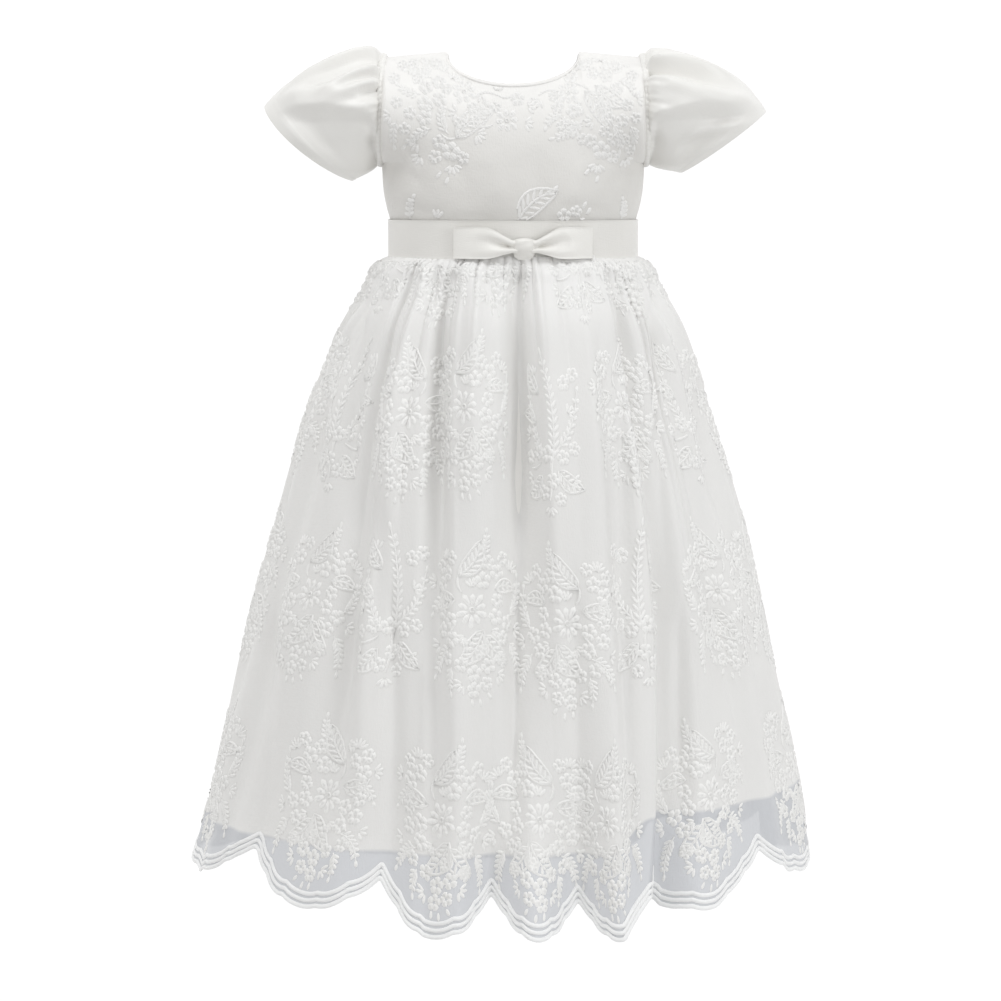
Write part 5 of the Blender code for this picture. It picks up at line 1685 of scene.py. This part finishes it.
u = np.linspace(0, 2 * np.pi, 360, endpoint=False)
v = np.concatenate([np.linspace(0, 0.1, 6)[:-1], np.linspace(0.1, 0.9, 12)[:-1], np.linspace(0.9, 1, 6)])
u, v = np.meshgrid(u, v)
outer = sash_at(u, v)
inner = outer - 0.0008 * normals_of(sash_at, u, np.clip(v, 0.01, 0.99), 1.0, 1e-3, 1e-3)
sash = wall_piece(
    "sash_ribbon", outer, inner, SASH_RIBBON_PAINTED_SHADE, np.stack([u * 0.086, v * 0.029], -1), closed=True
)
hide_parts("sash")


def on_sash(along, off, z):
    angles = np.linspace(-1.2, 1.2, 481)
    line = np.stack([SASH_HALF * np.sin(angles), -SASH_FRONT * np.cos(angles)], axis=-1)
    run = np.concatenate([[0], np.cumsum(np.linalg.norm(np.diff(line, axis=0), axis=1))])
    run -= run[240]
    angle = np.interp(along, run, angles)
    x, y = SASH_HALF * np.sin(angle), -SASH_FRONT * np.cos(angle)
    nx, ny = np.sin(angle) / SASH_HALF, -np.cos(angle) / SASH_FRONT
    size = np.hypot(nx, ny)
    return np.stack([x + off * nx / size, y + off * ny / size, z + 0.0 * x], axis=-1)


def bow_loop(side):
    def surface(u, v):
        turn = np.clip(v, 0.0, 1.0)
        out = np.sin(np.pi * np.clip(turn, 0, 1)) ** 0.55
        reach = KNOT_HALF * 0.55 + (BOW_REACH - KNOT_HALF * 0.55) * out
        swell = np.clip((reach - KNOT_HALF) / (BOW_REACH - KNOT_HALF), 0, 1)
        open_by = 0.0016 + 0.0022 * np.sin(np.pi * np.clip(swell, 0, 1) ** 0.6)
        off = 0.0016 + GAP + (0.5 - 0.5 * np.cos(np.pi * turn)) * (open_by + 0.0014)
        half = BOW_HALF_HEIGHT * (0.40 + 0.60 * smooth(swell, -0.1, 0.46))
        dip = (1 - np.clip(swell / 0.46, 0, 1)) ** 1.5
        z = BOW_Z + (KNOT_Z + 0.0008 - BOW_Z) * dip + half * u
        # the bottom edge is drawn up to the knot as well
        z = z + 0.0016 * dip * np.clip(-u, 0, 1)
        front = smooth(turn, 0.5, 0.68)
        near = np.exp(-((swell / 0.40) ** 2))
        # ribbon pinched in the knot: a pocket in the middle between two rolls
        roll = 0.0022 * np.exp(-(((u - 0.66) / 0.30) ** 2)) + 0.0019 * np.exp(
            -(((u + 0.58) / 0.30) ** 2)
        )
        pocket = 0.0040 * np.exp(-(((u - 0.06) / 0.34) ** 2)) * smooth(swell, 0.0, 0.06)
        off = off + front * near * (roll - pocket)
        off = off + 0.0009 * front * np.sin(np.pi * swell) * (1 - u * u)
        off = off + 0.0007 * front * np.exp(-(((swell - 0.60 + 0.10 * u) / 0.10) ** 2))
        rim = np.exp(-(((1 - np.abs(u)) / 0.07) ** 2))
        off = off + 0.0004 * rim * front
        off = np.maximum(off, 0.0016 + GAP)
        return on_sash(BOW_CENTRE + side * reach, off, z)

    return surface


for name, side in (("bow_left", -1.0), ("bow_right", 1.0)):
    surface = bow_loop(side)
    u = np.concatenate([np.linspace(-1, -0.86, 5)[:-1], np.linspace(-0.86, 0.86, 19)[:-1], np.linspace(0.86, 1, 5)])
    v = 0.5 - 0.5 * np.cos(np.pi * np.linspace(0.0, 1.0, 110))
    u, v = np.meshgrid(u, v)
    outer = surface(u, v)
    inner = outer - 0.0007 * normals_of(surface, u, np.clip(v, 0.003, 0.997), -side, 1e-3, 1e-3)
    uvs = np.stack([v * 0.1, u * 0.012], -1)
    made = wall_piece(
        name + "_ribbon", outer, inner, BOW_RIBBON_PAINTED_LIGHT, uvs, flip=(side < 0)
    )
    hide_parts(name)


def knot_at(u, v):
    turn = v * math.pi / 2
    # a band pinched at its sides: it stands out at the top and turns under below
    round_off = np.sqrt(np.maximum(1.0 - 0.95 * np.abs(u) ** 2.2, 0.0))
    crown = np.where(v > 0.34, np.cos((v - 0.34) / 0.66 * math.pi / 2) ** 0.6, 0.0)
    under = np.where(v <= 0.34, 1.0 - smooth(0.34 - v, 0.0, 1.20) ** 0.85, 0.0)
    fold = 0.0005 * np.cos(5.2 * v + 1.3 * u + 0.4) + 0.0004 * np.cos(11.0 * v - 1.6 * u)
    off = 0.0024 + (0.0082 * (crown + under) + fold * np.cos(turn)) * round_off
    half = KNOT_HALF * (0.90 - 0.16 * np.abs(v) ** 1.5 + 0.04 * v)
    rise = KNOT_HALF_HEIGHT * np.sign(v) * np.abs(np.sin(turn)) ** 0.85 * (1 - 0.16 * np.abs(u) ** 2.4)
    dip = 0.0
    return on_sash(BOW_CENTRE + half * u, off, KNOT_Z + rise + dip)


u, v = np.meshgrid(np.linspace(-1, 1, 34), np.linspace(-1, 1, 40))
outer = knot_at(u, v)
inner = outer - 0.0009 * normals_of(knot_at, np.clip(u, -0.98, 0.98), np.clip(v, -0.97, 0.97), 1.0, 1e-3, 1e-3)
knot = wall_piece(
    "bow_knot_ribbon", outer, inner, BOW_RIBBON_PAINTED_LIGHT, np.stack([u * 0.009, v * 0.014], -1)
)
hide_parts("bow_knot")

# ================================================================ buttons and loops
back_face = bodice_surface(False)


def back_at(x, z):
    angle = math.asin(x / ARM_X_TOP)
    v = np.linspace(0.0, 2.0, 801)
    heights = back_face(np.full_like(v, angle), v)[:, 2]
    share = float(np.interp(z, heights, v))
    point = back_face(np.array([angle]), np.array([share]))[0]
    normal = normals_of(back_face, np.array([angle]), np.array([share]), -1.0)[0]
    return point, normal


loops = []
for number, z in enumerate(BUTTON_Z, 1):
    point, out = back_at(BUTTON_SIDE, z)
    profile = np.array(
        [(0.0, 1.0), (0.25, 0.985), (0.5, 0.93), (0.72, 0.81), (0.88, 0.62), (0.97, 0.38), (1.0, 0.2), (0.98, 0.0)]
    )
    steps = 28
    turn = np.linspace(0, 2 * np.pi, steps, endpoint=False)
    rings = np.stack(
        [
            BUTTON_RADIUS * profile[1:, 0][:, None] * np.cos(turn),
            BUTTON_RADIUS * profile[1:, 0][:, None] * np.sin(turn),
            np.broadcast_to(BUTTON_HEIGHT * profile[1:, 1][:, None], (7, steps)),
        ],
        -1,
    ).reshape(-1, 3)
    local = np.concatenate([rings, [[0, 0, BUTTON_HEIGHT]]])
    quads = grid_faces(7, steps, True)[:, ::-1]
    i = np.arange(steps)
    cap = np.stack([i, (i + 1) % steps, np.full(steps, 7 * steps)], -1)
    placing = Matrix.LocRotScale(
        Vector(point) + Vector(out) * 0.0005 + Vector((0.0, GAP / 2, 0.0)),
        Vector(out).to_track_quat("Z", "Y"),
        None,
    )
    world = np.array(placing)
    world_points = local @ world[:3, :3].T + world[:3, 3]
    made = piece_of(
        f"button_{number}_cover", world_points, quads, BUTTON, local[:, :2],
        triangles=cap,
    )
    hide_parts(f"button_{number}")
    # a cord loop from the other edge of the opening goes round the button
    turn = np.linspace(-2.35, 2.35, 26)
    radius = BUTTON_RADIUS + 0.0004
    arc = np.stack([radius * np.cos(turn), radius * np.sin(turn)], -1)
    path2 = np.concatenate([[[-0.0082, -0.0018]], arc, [[-0.0082, 0.0018]]])
    path2[:, 0] += BUTTON_SIDE
    path, normal = [], []
    for dx, dz in path2:
        p, n = back_at(dx, z + dz)
        path.append(p + n * 0.0008)
        normal.append(n)
    path, normal = np.array(path), np.array(normal)
    forward = np.gradient(path, axis=0)
    forward /= np.linalg.norm(forward, axis=1, keepdims=True)
    side = np.cross(forward, normal)
    side /= np.linalg.norm(side, axis=1, keepdims=True)
    loops.append(ribs_along(path, normal, side, 0.0011, 0.0006, taper=False))
joined("button_loops", loops, CORD_THREAD)

# ================================================================ floor, light and camera
floor_data = bpy.data.meshes.new("floor")
ring = [(0.74 * math.cos(a), 0.74 * math.sin(a), -0.95) for a in np.linspace(0, 2 * np.pi, 96, endpoint=False)]
floor_data.from_pydata(ring, [], [list(range(96))])
floor_material = bpy.data.materials.new("floor")
floor_nodes, _ = nodes_of(floor_material)
floor_nodes["Principled BSDF"].inputs["Base Color"].default_value = (0.88, 0.88, 0.88, 1.0)
floor_nodes["Principled BSDF"].inputs["Roughness"].default_value = 0.9
floor_data.materials.append(floor_material)
floor = bpy.data.objects.new("floor", floor_data)
bpy.context.scene.collection.objects.link(floor)

world = bpy.data.worlds.new("studio")
bpy.context.scene.world = world
world.use_nodes = True
sky_nodes, sky_links = world.node_tree.nodes, world.node_tree.links
background = sky_nodes["Background"]
background.inputs["Color"].default_value = (1.0, 1.0, 1.0, 1.0)
# a white room that is brighter behind the gown than in front of it
way = sky_nodes.new("ShaderNodeTexCoord")
split = sky_nodes.new("ShaderNodeSeparateXYZ")
sky_links.new(way.outputs["Generated"], split.inputs["Vector"])
span = sky_nodes.new("ShaderNodeMapRange")
span.interpolation_type = "SMOOTHSTEP"
span.inputs["From Min"].default_value = -0.35
span.inputs["From Max"].default_value = 0.75
span.inputs["To Min"].default_value = ROOM_FRONT
span.inputs["To Max"].default_value = ROOM_BACK
sky_links.new(split.outputs["Y"], span.inputs["Value"])
sky_links.new(span.outputs["Result"], background.inputs["Strength"])


def softbox(name, place, target, size, power, colour=(1.0, 1.0, 1.0)):
    light = bpy.data.lights.new(name, "AREA")
    light.shape = "RECTANGLE"
    light.size, light.size_y = size
    light.energy = power
    light.color = colour
    made = bpy.data.objects.new(name, light)
    made.location = place
    made.rotation_euler = (Vector(target) - Vector(place)).to_track_quat("-Z", "Y").to_euler()
    bpy.context.scene.collection.objects.link(made)


softbox("above", (-0.3, -0.9, 1.8), (0.0, 0.0, -0.25), (1.2, 0.7), 16.0, (0.97, 0.985, 1.0))
softbox("right", (1.9, -1.7, 0.25), (0.0, 0.0, -0.38), (0.8, 1.5), 19.0, (0.97, 0.985, 1.0))
softbox("left", (-2.1, -1.5, 0.2), (0.0, 0.0, -0.38), (0.8, 1.5), 8.0)

PITCH = math.radians(5.8)
camera_data = bpy.data.cameras.new("camera")
camera_data.sensor_width = 36.0
camera_data.lens = 3226.0 / 1001.0 * 36.0
camera_data.clip_start, camera_data.clip_end = 0.05, 50.0
camera = bpy.data.objects.new("camera", camera_data)
camera.location = (-0.0097, -2.5, -0.095)
camera.rotation_euler = (math.pi / 2 - PITCH, 0.0, 0.0)
bpy.context.scene.collection.objects.link(camera)
bpy.context.scene.camera = camera
bpy.context.scene.view_settings.view_transform = "Standard"
bpy.context.scene.view_settings.look = "None"
